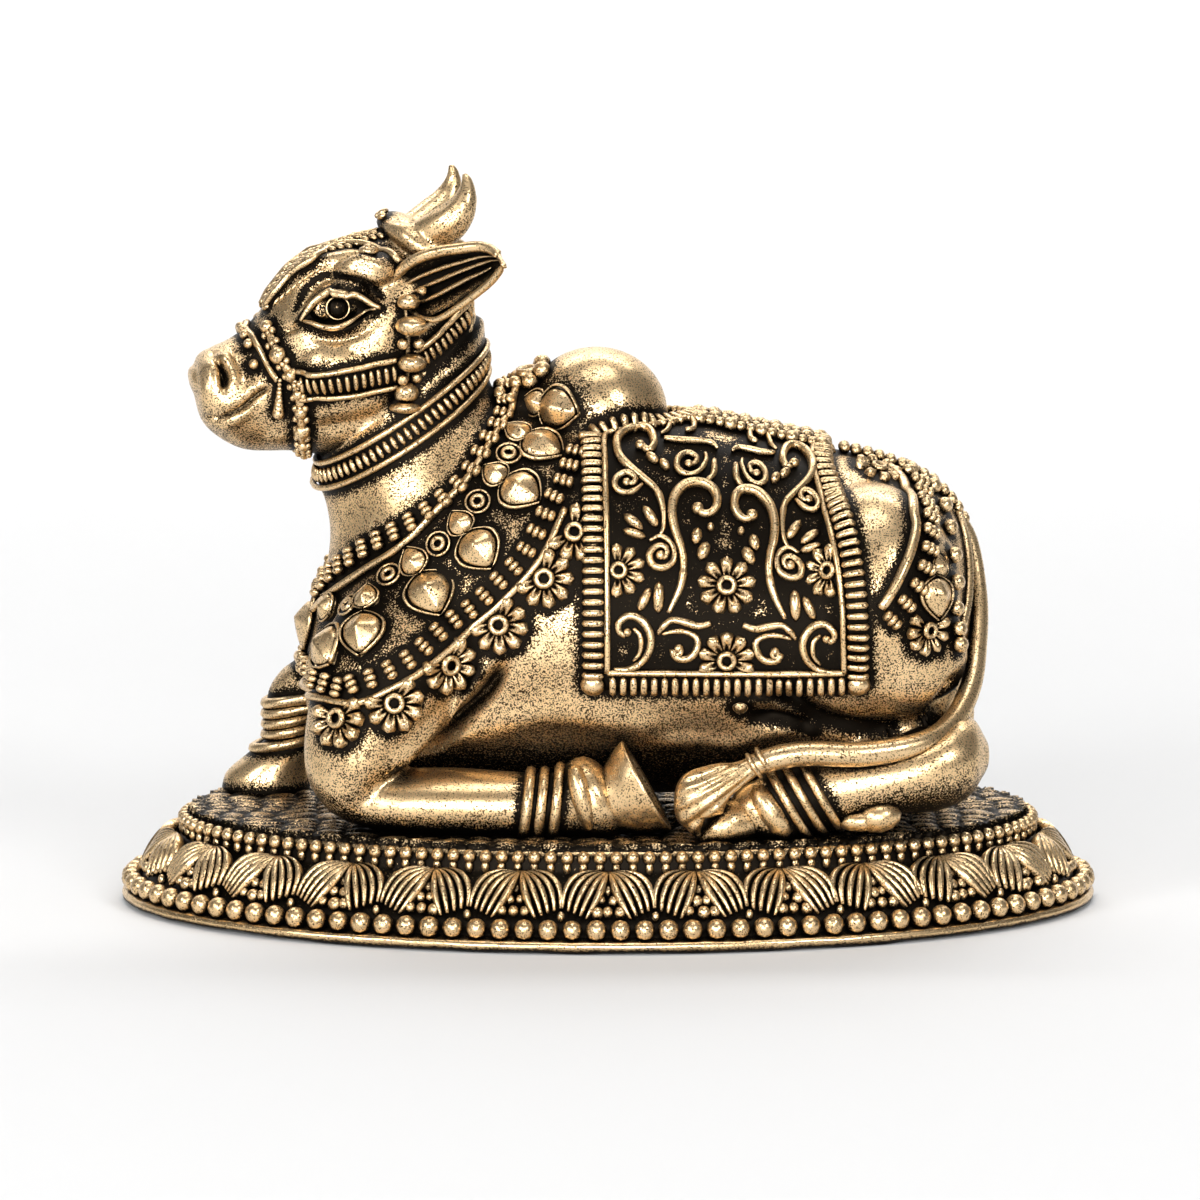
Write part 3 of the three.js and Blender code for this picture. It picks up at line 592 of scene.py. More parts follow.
SHANK = [
    [37.8, 5.4, 38.0, 9.0, 2.4, -13.0],
    [36.2, 3.2, 36.6, 11.2, 5.0, -13.5],
    [33.0, 2.0, 33.4, 11.4, 5.8, -14.4],
    [28.0, 1.8, 28.4, 9.6, 4.8, -16.0],
    [23.0, 0.8, 20.0, 8.0, 3.6, -17.4],
    [19.0, -0.2, 15.2, 6.6, 3.2, -18.4],
]
HIND_PASTERN = [
    [19.4, -0.3, 15.4, 5.6, 2.6, -18.6],
    [18.2, -0.6, 14.0, 5.6, 2.9, -18.9],
    [16.8, -0.6, 12.6, 4.6, 2.6, -19.0],
    [15.6, -0.4, 12.0, 3.4, 2.0, -19.0],
]
forms = bmesh.new()
add_form(forms, TRUNK)
add_ball(forms, (-1.2, 0, 40.6), (7.3, 6.9, 6.7))
add_ball(forms, (-8.4, 0, 41.2), (2.9, 4.2, 2.7))
add_ball(forms, (32.0, 0, 15.6), (6.5, 9.6, 9.0))
for stations in (UPPER_ARM, FOREARM, PASTERN, FAR_UPPER_ARM, FAR_CANNON, FAR_HOOF):
    add_form(forms, stations, tip=0.12)
for side in (-1, 1):
    add_ball(forms, (26.4, side * 8.6, 22.0), (9.4, 9.8, 12.4))
    add_ball(forms, (27.6, side * 11.8, 17.6), (8.6, 5.6, 7.6))
for stations in (SHANK, HIND_PASTERN):
    add_form(forms, stations, tip=0.2)
    mirrored_form(add_form, forms, stations, 5, tip=0.2)
skin = melted(forms, SKIN_VOXEL, 5)


def nearest_on(points, line):
    """Distance in the side view from each point to a line, and how strong the line is there."""
    far = np.full(len(points), 1e9)
    strength = np.ones(len(points))
    for start, end in zip(line[:-1], line[1:]):
        step = end[:2] - start[:2]
        share = np.clip(((points - start[:2]) @ step) / max(step @ step, 1e-9), 0, 1)
        gap = np.linalg.norm(points - start[:2] - share[:, None] * step, axis=1)
        closer = gap < far
        far[closer] = gap[closer]
        strength[closer] = (start[2] + share * (end[2] - start[2]))[closer]
    return far, strength


def carved(bm, strokes, sides=(-1, 1), turn=0.0):
    """Presses grooves into a skin, and raises ridges where the height is above 0. A stroke is its
    line in the side view, its half width and its height, and its two ends fade out."""
    bm.normal_update()
    place = np.array([vert.co for vert in bm.verts])
    out = np.array([vert.normal for vert in bm.verts])
    spin = np.array(Matrix.Rotation(-turn, 3, "Z"))
    axis = np.array((NECK_AXIS_X, 0, 0))
    local = (place - axis) @ spin.T + axis
    facing = (out @ spin.T)[:, 1]
    push = np.zeros(len(place))
    for line, half_width, height in strokes:
        rows = smooth_rows(line, 5)
        fade = np.minimum(1, np.minimum(np.arange(len(rows)) + 1, len(rows) - np.arange(len(rows))) / 4)
        rows = np.column_stack([rows, fade])
        low, high = rows[:, :2].min(0) - 3 * half_width, rows[:, :2].max(0) + 3 * half_width
        flat = local[:, (0, 2)]
        inside = ((flat > low) & (flat < high)).all(1)
        for side in sides:
            picked = np.nonzero(inside & (local[:, 1] * side > 0) & (facing * side > 0.05))[0]
            if len(picked):
                far, strength = nearest_on(flat[picked], rows)
                turned_to = np.minimum(1, facing[picked] * side * 2.5)
                push[picked] += height * strength * np.exp(-((far / half_width) ** 2)) * turned_to
    place += out * push[:, None]
    for vert, co in zip(bm.verts, place):
        vert.co = co


def cut_off(bm, place, normal):
    """Cuts away what lies beyond a plane and closes the cut."""
    geom = bm.verts[:] + bm.edges[:] + bm.faces[:]
    bmesh.ops.bisect_plane(bm, geom=geom, plane_co=place, plane_no=normal, clear_outer=True)
    close_holes(bm)


# Folds of the flank: behind the folded foreleg, under the belly and round the haunch
HAUNCH_FOLD = [(16.6, 14.8), (18.4, 13.5), (21.7, 11.3), (25.0, 10.4), (28.2, 10.0), (30.4, 10.2),
               (32.8, 11.5), (34.7, 13.8), (35.7, 15.8)]
BELLY_FOLD = [(14.6, 11.9), (17.2, 11.7), (19.2, 10.9), (20.6, 10.2)]
carved(skin, [
    ([(-12.0, 17.4), (-14.0, 14.4), (-16.7, 11.6), (-19.4, 9.0), (-22.2, 6.6)], 0.7, 1.1),
    ([(-10.4, 17.0), (-12.3, 13.9), (-15.0, 11.1), (-17.4, 9.0), (-19.4, 7.6)], 0.7, -2.2),
    ([(-16.8, 9.4), (-12.8, 9.9), (-9.5, 11.0), (-6.1, 11.9), (-2.2, 11.6), (2.2, 10.6), (5.5, 9.7)], 1.6,
     0.5),
    ([(13.2, 13.6), (16.0, 13.8), (18.4, 12.9), (20.0, 11.7)], 0.8, 0.7),
    (BELLY_FOLD, 0.6, -0.9),
    (HAUNCH_FOLD, 1.0, -1.5),
    ([(4.2, 8.8), (9.0, 9.2), (12.3, 8.8), (16.2, 10.0), (19.8, 10.6)], 0.9, 0.5),
])
carved(skin, [([(-29.3, 8.6), (-27.8, 6.4), (-25.0, 5.2)], 1.2, -0.25)], sides=(-1,))

# The head and neck are modelled finer than the body. The head turns a little to the near side,
# horns and horn knots grow out of it, and the collar hides where neck meets trunk.
HEAD_VOXEL = 0.24
COLLAR_PLACE = Vector((-30.2, 0, 34.2))
COLLAR_NORMAL = Vector((-0.663, -0.2, 1)).normalized()
NEAR_HORN = [
    [-19.8, -3.9, 58.8, 1.6, 1.6],
    [-18.2, -4.9, 59.4, 1.9, 1.95],
    [-16.8, -5.6, 60.3, 1.95, 2.0],
    [-15.7, -6.1, 61.6, 1.6, 1.65],
    [-15.1, -6.2, 63.0, 1.15, 1.15],
    [-14.95, -6.0, 64.3, 0.7, 0.7],
    [-15.2, -5.7, 65.2, 0.42, 0.42],
]
HORN_KNOT = [
    [-22.6, -2.6, 59.7, 0.7, 0.7],
    [-21.3, -4.3, 59.2, 1.15, 1.15],
    [-20.0, -5.6, 58.2, 1.1, 1.1],
    [-18.4, -6.2, 57.4, 0.8, 0.8],
    [-17.2, -6.0, 57.2, 0.4, 0.4],
]
FAR_EAR_DROP = 1.8

head_forms = bmesh.new()
add_form(head_forms, SKULL, tip=0.3, sides=48)
for side in (-1, 1):
    add_ball(head_forms, (-25.2, side * 6.0, 55.4), (3.8, 2.7, 2.0), tilt=-0.25)
    add_ball(head_forms, (-27.6, side * 7.0, 46.0), (4.6, 2.6, 3.2), tilt=0.1)
    add_ball(head_forms, (-39.9, side * 2.9, 45.2), (1.6, 2.1, 2.1), tilt=0.3)
add_ball(head_forms, (-33.6, 0, 39.6), (4.0, 4.6, 2.6))
for stations in (NEAR_HORN, HORN_KNOT):
    add_limb(head_forms, stations)
    mirrored_form(add_limb, head_forms, stations, 1)
add_ball(head_forms, (-21.2, 0, 59.6), (2.4, 3.4, 1.4), tilt=0.3)
neck_spin = Matrix.Rotation(HEAD_TURN, 3, "Z")
neck_axis = Vector((NECK_AXIS_X, 0, 0))
bmesh.ops.rotate(head_forms, cent=neck_axis, matrix=neck_spin, verts=head_forms.verts)
add_form(head_forms, TRUNK[:8], sides=48)
head_skin = melted(head_forms, HEAD_VOXEL, 6)
cut_off(head_skin, COLLAR_PLACE - 0.4 * COLLAR_NORMAL, -COLLAR_NORMAL)
cut_off(skin, COLLAR_PLACE + 0.5 * COLLAR_NORMAL, COLLAR_NORMAL)

# Nostrils, mouth, eyelids, brows and the folds of the throat
LID_CREASE = [(-32.3, 51.7), (-31.2, 53.7), (-29.6, 55.0), (-28.2, 55.3), (-26.8, 55.0), (-25.3, 54.2),
              (-23.8, 53.2)]
BROW_CREASE = [(-34.6, 52.7), (-33.2, 54.8), (-31.6, 56.4), (-29.9, 57.4), (-28.0, 57.9), (-25.8, 58.0),
               (-23.5, 57.4)]
carved(head_skin, [
    ([(-40.4, 46.9), (-39.8, 46.2), (-39.5, 45.2), (-39.6, 43.9)], 0.36, -1.6),
    ([(-41.0, 46.8), (-40.9, 45.6), (-40.4, 44.0)], 0.5, 0.25),
    ([(-40.0, 47.3), (-39.0, 46.6), (-38.5, 45.2), (-38.5, 44.2)], 0.55, 0.4),
    ([(-41.2, 40.9), (-40.0, 40.7), (-38.9, 41.2), (-37.6, 42.0), (-36.2, 43.2), (-35.0, 44.1)], 0.24, -0.7),
    ([(-40.6, 39.9), (-39.3, 40.1), (-38.0, 40.9), (-36.6, 42.0)], 0.6, 0.25),
    ([(-40.0, 42.0), (-38.4, 42.6), (-37.0, 43.6), (-35.8, 44.6)], 0.6, 0.2),
    ([(-31.0, 51.2), (-29.6, 51.7), (-28.0, 51.9), (-26.3, 51.9), (-25.0, 51.9)], 1.0, -1.0),
    ([(-32.4, 50.4), (-30.7, 52.4), (-29.3, 53.5), (-28.1, 53.9), (-26.6, 53.6), (-25.3, 52.9),
      (-23.9, 52.0)], 0.32, 0.75),
    ([(-31.7, 50.7), (-30.0, 50.0), (-28.5, 49.8), (-26.9, 50.3), (-25.3, 51.3), (-24.3, 51.9)], 0.32, 0.6),
    (LID_CREASE, 0.5, -0.95),
    ([(-30.9, 49.2), (-28.5, 48.9), (-26.2, 49.5), (-24.6, 50.8)], 0.4, -0.35),
    ([(-31.9, 50.3), (-33.0, 49.9), (-33.9, 49.4)], 0.35, -0.5),
    ([(-34.9, 51.6), (-33.7, 53.3), (-32.1, 54.9), (-30.3, 56.1), (-28.0, 56.7), (-26.1, 56.9),
      (-24.3, 56.5)], 0.5, 0.6),
    (BROW_CREASE, 0.3, -0.5),
    ([(-30.4, 39.9), (-28.1, 40.2), (-25.9, 40.6), (-23.7, 41.1)], 0.7, -0.35),
    ([(-30.6, 38.6), (-27.1, 38.4), (-23.7, 39.0)], 0.9, 0.3),
    ([(-19.0, 44.6), (-16.4, 45.6), (-14.0, 47.6)], 0.7, 0.3),
    ([(-36.6, 45.6), (-35.6, 46.4), (-34.9, 48.0)], 0.9, -0.3),
    ([(-18.6, 61.4), (-16.9, 62.8), (-15.9, 64.0)], 0.25, -0.25),
], turn=HEAD_TURN)
head_brass = brass_finish("head brass", painted=True, reach=1.2)
body_brass = brass_finish("body brass", painted=True, reach=1.6)


def head_place(x, y, z):
    return neck_spin @ (Vector((x, y, z)) - neck_axis) + neck_axis


# What is set on the skin finds its place by a ray from the side, and lies along it
body_tree = BVHTree.FromBMesh(skin)
head_tree = BVHTree.FromBMesh(head_skin)


def from_side(tree, x, z, side, turned=False):
    """The place on a skin that is seen from the side, or the nearest below it, and its normal."""
    along = Vector((0, -side, 0))
    along = neck_spin @ along if turned else along
    for drop in np.arange(0, 3, 0.25):
        start = Vector((x, side * 60, z - drop))
        start = head_place(*start) if turned else start
        place, normal, *_ = tree.ray_cast(start, along)
        if place:
            return place, normal
    return None, None


def from_above(tree, x, y=0.0):
    """The highest place of a skin over a spot, and its normal."""
    return tree.ray_cast(Vector((x, y, 90)), DOWN)[:2]


def from_front(tree, z):
    return tree.ray_cast(Vector((-80, 0, z)), Vector((1, 0, 0)))[:2]


def from_behind(tree, z):
    return tree.ray_cast(Vector((80, 0, z)), Vector((-1, 0, 0)))[:2]


def laid(normal, lean):
    """Directions across, up and out of a skin, where up lies on it as near to the lean as it can."""
    up = (lean - normal * lean.dot(normal)).normalized()
    return up.cross(normal), up, normal


def line_on(tree, points, pitch, closed=False):
    """Even places along a smooth line through points near a skin, each with normal and direction."""
    points = [point for point in points if point is not None]
    if closed:
        points = points[-1:] + points + points[:2]
    rows = smooth_rows([list(point) for point in points], 12)
    if closed:
        rows = rows[12:-12]
    run = np.concatenate([[0], np.cumsum(np.linalg.norm(np.diff(rows, axis=0), axis=1))])
    count = max(2, round(run[-1] / pitch))
    even = np.linspace(0, run[-1], count + 1)
    spots = [Vector([np.interp(t, run, rows[:, k]) for k in range(3)]) for t in even]
    found = [tree.find_nearest(spot)[:2] for spot in spots]
    line = []
    for i, (place, normal) in enumerate(found):
        before = found[i - 1 if i else -2 if closed else 0][0]
        after = found[(i + 1) % count if closed else min(i + 1, count)][0]
        along = (after - before).normalized()
        line.append((place, normal, along))
    return line


def side_points(tree, pairs, side, turned=False):
    return [from_side(tree, x, z, side, turned)[0] for x, z in pairs]


def side_line(tree, pairs, side, pitch, turned=False):
    return line_on(tree, side_points(tree, pairs, side, turned), pitch)


def cord(bm, line, half_width, half_height, across=0.0, lift=0.15, sides=8, taper=None):
    """A cord laid along a line, part sunk in the skin."""
    last = len(line) - 1

    def place(u, v):
        i = round(v * last)
        spot, normal, along = line[i]
        over = normal.cross(along)
        size = taper(i / last) if taper else 1
        turn = 2 * pi * u
        aside = across + size * half_width * cos(turn)
        return spot + over * aside + normal * (lift + size * half_height * sin(turn))

    add_closed(bm, moved_grid(sides, last, place))


RIDGE_STEP = 4


def on_line(line, spot, across=0.0, lift=0.0):
    """A matrix at one place of a line: x runs across it, y along it and z out of the skin."""
    place, normal, along = line[spot]
    over = normal.cross(along).normalized()
    forward = over.cross(normal) * -1
    matrix = Matrix((over, forward, normal)).transposed().to_4x4()
    matrix.translation = place + over * across + normal * lift
    return matrix


def bead_on(bm, line, spot, half, across=0.0, lift=0.1, shape=ROUND):
    """A bead or another shape on a line, with its half sizes across it, along it and outwards."""
    stamp(bm, shape, on_line(line, spot, across, lift) @ Matrix.Diagonal((*half, 1)))


def ridged_band(bm, line, half_width, cord_half, ridge_half):
    """Two edge cords with a row of oval ridges across the band between them."""
    for edge in (-half_width, half_width):
        cord(bm, line, cord_half, cord_half, across=edge, lift=0.2)
    for spot in range(RIDGE_STEP // 2, len(line) - 1, RIDGE_STEP):
        bead_on(bm, line, spot, (half_width - cord_half - 0.12, ridge_half, 0.45))


# The halter: a nose band with beads, cheek bands with ridges, temple strings that hang over them,
# and a cord with a knot along the forehead. All of it is relief of the one casting.
halter = bmesh.new()
NOSE_CORD = [(-36.9, 49.6), (-36.4, 48.8), (-35.7, 47.6), (-35.2, 46.5), (-34.6, 45.4), (-34.1, 44.7)]
CHEEK_BAND = [(-32.2, 44.3), (-30.0, 44.4), (-27.6, 44.7), (-25.2, 45.1), (-22.4, 45.6)]
NOSE_BEADS = [(-34.9, 49.8, 0.75), (-34.0, 47.2, 0.95), (-32.9, 45.3, 0.7), (-32.2, 43.4, 0.6),
              (-31.9, 41.6, 0.7), (-31.7, 39.6, 0.9), (-31.5, 38.0, 0.65), (-31.1, 36.8, 0.55)]
TEMPLE_BEADS = [(-20.2, 53.4, 0.55, 0.5, 1.3), (-21.5, 52.4, 1.15, 0.85, 1.3),
                (-21.4, 50.3, 1.75, 1.05, 1.6), (-22.15, 48.6, 0.62, 0.6, 0.9),
                (-20.65, 48.6, 0.62, 0.6, 0.9), (-21.4, 46.8, 1.55, 0.95, 1.0),
                (-22.15, 45.1, 0.62, 0.6, 0.7), (-20.65, 45.1, 0.62, 0.6, 0.7),
                (-21.4, 43.4, 1.3, 1.15, 0.7), (-21.5, 41.9, 1.65, 0.6, 0.6)]
FOREHEAD_CORD = [(-35.0, 51.8), (-34.1, 53.8), (-32.5, 56.2), (-30.2, 57.4), (-27.9, 57.9),
                 (-25.7, 58.0), (-23.9, 57.6), (-22.4, 56.8), (-21.0, 56.2)]
brow_start = head_place(-36.6, 0, 0)
brow_top = from_above(head_tree, brow_start.x, brow_start.y)[0]
for side in (-1, 1):
    nose = side_points(head_tree, NOSE_CORD, side, True)
    cord(halter, line_on(head_tree, [brow_top] + nose, 0.4), 0.38, 0.42)
    for x, z, half in NOSE_BEADS:
        place, normal = from_side(head_tree, x, z, side, True)
        bead(halter, place + normal * 0.25, half)
    chain = side_line(head_tree, [(x, z) for x, z, _ in NOSE_BEADS], side, 0.4, True)
    cord(halter, chain, 0.5, 0.3)
    for spot in range(2, len(chain) - 1, 3):
        for across in (-0.55, 0.0, 0.55):
            bead_on(halter, chain, spot, (0.36, 0.42, 0.45), across, 0.25)
    top, low = (from_side(head_tree, x, z, side, True) for x, z in ((-33.8, 44.8), (-33.9, 41.4)))
    for k in range(9):
        share = k / 8
        bead(halter, top[0].lerp(low[0], share) + top[1] * 0.5, 0.24 + 0.42 * share ** 1.5)
    ridged_band(halter, side_line(head_tree, CHEEK_BAND, side, 0.2, True), 1.45, 0.3, 0.3)
    in_line = TEMPLE_BEADS[1:3] + TEMPLE_BEADS[5:6] + TEMPLE_BEADS[8:]
    cord(halter, side_line(head_tree, [(x, z) for x, z, *_ in in_line], side, 0.4, True), 0.3, 0.3)
    for x, z, wide, high, lift in TEMPLE_BEADS:
        place, normal = from_side(head_tree, x, z, side, True)
        bead(halter, place + normal * lift, (wide, 0.82 * wide, high))
    cord(halter, side_line(head_tree, FOREHEAD_CORD, side, 0.4, True), 0.36, 0.42)
    knot, normal = from_side(head_tree, -25.0, 57.4, side, True)
    bead(halter, knot + normal * 0.3, (1.05, 0.7, 0.6))
    bead(halter, knot + normal * 0.6, (0.5, 0.5, 0.5))
REAR_BAND = [(-20.4, 46.4), (-18.9, 47.3), (-17.0, 48.7), (-15.4, 50.2)]
near_rear, far_rear = (side_points(head_tree, REAR_BAND, side, True) for side in (-1, 1))
rear_points = [*near_rear, from_behind(head_tree, 52.6)[0], *reversed(far_rear)]
ridged_band(halter, line_on(head_tree, rear_points, 0.2), 1.45, 0.32, 0.32)
for k in range(9):
    share = k / 4 - 1
    start = head_place(-36.4 - 0.8 * (1 - share ** 2), 4.6 * share, 0)
    place, normal = from_above(head_tree, start.x, start.y)
    bead(halter, place + normal * 0.3, 0.55)
for row in range(15):
    share = row / 14
    for k in range(-2, 3):
        start = head_place(-34.4 + 11.6 * share - 0.25 * abs(k), (0.95 + 0.2 * share) * k, 0)
        place, normal = from_above(head_tree, start.x, start.y)
        lean = Vector((1, 0.7 * k, 0.6)).normalized()
        bead(halter, place + normal * 0.1, (0.36, 0.62, 0.36), laid(normal, lean))
cast_piece("head_harness", halter, ornament_brass)

# Each eye is a dark ball with a ringed iris between two thick lids, under a hatched brow.
UPPER_LID = [(-31.8, 50.7), (-30.7, 52.3), (-29.4, 53.3), (-28.1, 53.7), (-26.7, 53.4), (-25.5, 52.8),
             (-24.1, 52.1)]
LOWER_LID = [(-31.5, 50.7), (-30.1, 50.3), (-28.5, 50.15), (-27.0, 50.7), (-25.6, 51.5), (-24.5, 52.0)]
EYE_X, EYE_Z = -28.3, 52.0
eyeballs, lids, brow = bmesh.new(), bmesh.new(), bmesh.new()
eye_middles = []
for side in (-1, 1):
    for points, half in ((UPPER_LID, 0.4), (LOWER_LID, 0.33)):
        line = side_line(head_tree, points, side, 0.3, True)
        cord(lids, line, half, 0.55, lift=0.25, taper=lambda share: 0.45 + 0.55 * sin(pi * share) ** 0.7)
    middle = from_side(head_tree, EYE_X, EYE_Z, side, True)[0]
    eye_middles.append(middle)
    outward_side = neck_spin @ Vector((0.05, side, 0.12)).normalized()
    level = (neck_spin @ Vector((1, 0, 0.12))).normalized()
    upright = outward_side.cross(level) * -side
    bead(eyeballs, middle - outward_side * 0.2, (2.9, 1.0, 1.6), (level, outward_side, upright))
    iris_line = []
    for t in np.linspace(0, 2 * pi, 25):
        spot = middle + outward_side * 0.75 + (level * cos(t) + upright * sin(t)) * 1.15
        iris_line.append((spot, outward_side, upright * cos(t) - level * sin(t)))
    cord(lids, iris_line, 0.12, 0.25, lift=-0.1)
    bead(eyeballs, middle + outward_side * 0.6, (1.0, 0.4, 1.0), (level, outward_side, upright))
    # A tiny bright bead in the middle of each iris stands in for the eye's glint: a painted highlight in
    # brass.
    bead(lids, middle + outward_side * 0.95 - level * 0.1 + upright * 0.1, 0.15)
    for k in range(9):
        share = k / 17
        x = -34.0 + 10.0 * share
        z = 52.4 + 4.5 * sin(pi / 2 * min(1, 1.35 * share)) - 0.6 * share
        hit = from_side(head_tree, x, z, side, True)
        lean = neck_spin @ Vector((0.75 + 0.3 * share, 0, 1.0 - 0.5 * share)).normalized()
        bead(brow, hit[0], (0.14, 0.6 - 0.3 * share, 0.2), laid(hit[1], lean))
cast_piece("eyelids", lids, ornament_brass)
cast_piece("brow_hairs", brow, ornament_brass)
eye_pair = cast_piece("eyeballs", eyeballs, brass_finish("eye brass", painted=True))
eye_middles = [place + UP * BASE_HEIGHT for place in eye_middles]
IRIS_REACH = 1.35


def iris_wash(co, normal):
    return 1.0 if min((co - middle).length for middle in eye_middles) < IRIS_REACH else 0.3


paint(eye_pair, "wash", iris_wash)
paint(eye_pair, "polish", 0.9)

# Each ear is a cupped leaf with a rolled rim and ridges inside, cast in one with the head. Its two
# edges are laid out in the side view, and it leans out from the head towards its tip.
EAR_TOP = [(-22.9, 53.4), (-22.3, 55.3), (-20.6, 56.9), (-18.4, 57.8), (-16.4, 58.2), (-14.5, 58.5),
           (-13.3, 58.2), (-12.7, 57.5)]
EAR_LOW = [(-21.2, 52.2), (-20.2, 51.2), (-18.6, 51.2), (-16.8, 52.4), (-15.0, 53.9), (-13.7, 55.2),
           (-12.9, 56.4), (-12.6, 57.2)]
EAR_ROOT_Y, EAR_TIP_Y = -7.0, -15.9
EAR_CUP, EAR_WALL = 2.3, 0.7
EAR_FRONT_SHARE = 0.66
ears, ear_rims = bmesh.new(), bmesh.new()
ear_top, ear_low = smooth_rows(EAR_TOP, 5), smooth_rows(EAR_LOW, 5)
for side in (-1, 1):

    def ear_place(u, v):
        row = round(v * (len(ear_top) - 1))
        front = u <= EAR_FRONT_SHARE
        a = 2 * u / EAR_FRONT_SHARE - 1 if front else 1 - 2 * (u - EAR_FRONT_SHARE) / (1 - EAR_FRONT_SHARE)
        x, z = ear_low[row] + (ear_top[row] - ear_low[row]) * (a + 1) / 2
        width = hypot(*(ear_top[row] - ear_low[row])) / 6.5
        deep = EAR_CUP * width * (1 - a * a)
        y = EAR_ROOT_Y + (EAR_TIP_Y - EAR_ROOT_Y) * v ** 0.9 + 1.3 * a
        y += deep if front else deep + EAR_WALL * (1.3 - a * a)
        if side > 0:
            y, z = -y, z - FAR_EAR_DROP
        return head_place(x, y, z)

    ear = moved_grid(58, len(ear_top) - 1, ear_place)
    close_holes(ear)
    ear_tree = BVHTree.FromBMesh(ear)
    add_to(ears, ear)
    last = len(ear_top) - 1
    rim_path = [ear_place(EAR_FRONT_SHARE, k / last) for k in range(0, last, 2)]
    rim_path += [ear_place(0, k / last) for k in range(last - 1, -1, -2)]
    facing = neck_spin @ Vector((-0.2, side, 0.15)).normalized()
    rim_rows = [Vector(row) for row in smooth_rows([list(spot) for spot in rim_path], 3)]
    after, before = rim_rows[1:] + rim_rows[-1:], rim_rows[:1] + rim_rows[:-1]
    rim_line = [(spot, facing, (b - a).normalized()) for spot, a, b in zip(rim_rows, before, after)]
    cord(ear_rims, rim_line, 0.62, 0.62, lift=0.1, taper=lambda share: 1 - 0.45 * clamp(2 * share - 0.8))
    for a, start, end in ((0.36, 0.02, 0.86), (0.0, 0.06, 0.92), (-0.4, 0.12, 0.78)):
        u = EAR_FRONT_SHARE * (a + 1) / 2
        path = [ear_place(u, start + (end - start) * k / 6) for k in range(7)]
        ridge = [(spot, facing, along) for spot, _, along in line_on(ear_tree, path, 0.4)]
        cord(ear_rims, ridge, 0.34, 0.8, lift=0.1, taper=lambda share: 0.35 + 0.65 * sin(pi * share) ** 0.7)
ear_cups = cast_piece("ears", ears, brass_finish("ear brass", painted=True))
cast_piece("ear_rims", ear_rims, ornament_brass)

# The neck collar, the two bead rows with their lines, and between them drops and ring studs.
# Half flowers hang below the lower row.
necklace = bmesh.new()


def round_neck(pairs, front_z, top_x):
    """Points of a closed line: from the chest up the near side, over the back and down the far."""
    near, far = side_points(body_tree, pairs, -1), side_points(body_tree, pairs, 1)
    return [from_front(body_tree, front_z)[0], *near, from_above(body_tree, top_x)[0], *reversed(far)]


def round_chest(pairs, front_z):
    """Points of a line that is open above: down the far side, over the chest and up the near."""
    near, far = side_points(body_tree, pairs, -1), side_points(body_tree, pairs, 1)
    return [*reversed(far), from_front(body_tree, front_z)[0], *near]


COLLAR_MIDDLE = Vector((-21.4, 0, 40.0)) + COLLAR_NORMAL * 0.2
COLLAR_TURNS = 24
neck_hits = []
for k in range(COLLAR_TURNS):
    turn = 2 * pi * k / COLLAR_TURNS
    slope = Vector((0.832, 0, 0.552)) * cos(turn) + Vector((0, 1, 0.2)).normalized() * sin(turn)
    neck_hits.append(head_tree.ray_cast(COLLAR_MIDDLE, slope)[0])
ridged_band(necklace, line_on(head_tree, neck_hits, 0.21, closed=True), 1.28, 0.32, 0.34)

UPPER_ROW = [(-29.4, 24.2), (-26.6, 26.0), (-23.5, 28.3), (-20.9, 29.9), (-18.4, 31.5), (-15.9, 33.5),
             (-13.9, 35.5), (-12.4, 37.9), (-10.9, 40.2)]
UPPER_LINE = [(-30.1, 22.5), (-26.1, 24.4), (-20.9, 28.2), (-16.9, 32.2), (-13.7, 35.6), (-11.0, 39.6)]
LOWER_ROW = [(-30.6, 15.0), (-27.2, 15.0), (-25.1, 15.5), (-23.1, 16.2), (-21.0, 17.3), (-19.1, 18.5),
             (-17.3, 20.2), (-15.6, 21.5), (-13.5, 22.9), (-12.0, 24.3), (-10.5, 25.9), (-8.9, 27.4),
             (-7.7, 29.2), (-6.5, 31.3), (-5.6, 33.1), (-4.6, 34.5), (-3.8, 36.3), (-2.6, 38.4)]
LOWER_LINE = [(-30.4, 12.8), (-25.9, 13.5), (-20.8, 15.5), (-16.8, 18.1), (-13.8, 20.7), (-10.8, 23.2),
              (-6.8, 27.6), (-4.3, 32.4)]
BEAD_PITCH, CLUSTER_STEP = 2.05, 5


def triple_beads(bm, line):
    """Bead clusters of a row, three side by side across it."""
    for spot in range(CLUSTER_STEP // 2, len(line) - 1, CLUSTER_STEP):
        for across, half in ((-0.66, 0.66), (0, 0.74), (0.66, 0.66)):
            bead_on(bm, line, spot, (0.44, half, 0.72), across, 0.4)


upper = line_on(body_tree, round_neck(UPPER_ROW, 23.4, -9.6), BEAD_PITCH / CLUSTER_STEP, closed=True)
triple_beads(necklace, upper)
cord(necklace, line_on(body_tree, round_neck(UPPER_LINE, 21.4, -8.8), 0.5, closed=True), 0.4, 0.5)
triple_beads(necklace, line_on(body_tree, round_chest(LOWER_ROW, 15.0), BEAD_PITCH / CLUSTER_STEP))
cord(necklace, line_on(body_tree, round_chest(LOWER_LINE, 12.6), 0.5), 0.42, 0.5)

# The shapes that hang and sit on it: a pointed drop with a thin rim, a petal and two rings
DROP_LENGTH, DROP_HALF = 5.7, 2.6


def drop_half(t):
    """Half width of a drop, from its round top at 0 to its point at 1."""
    share = sin(pi * (t / 0.86) ** 0.8) if t < 0.43 else cos(pi / 2 * (t - 0.43) / 0.57)
    return DROP_HALF * min(1, share + 0.001)


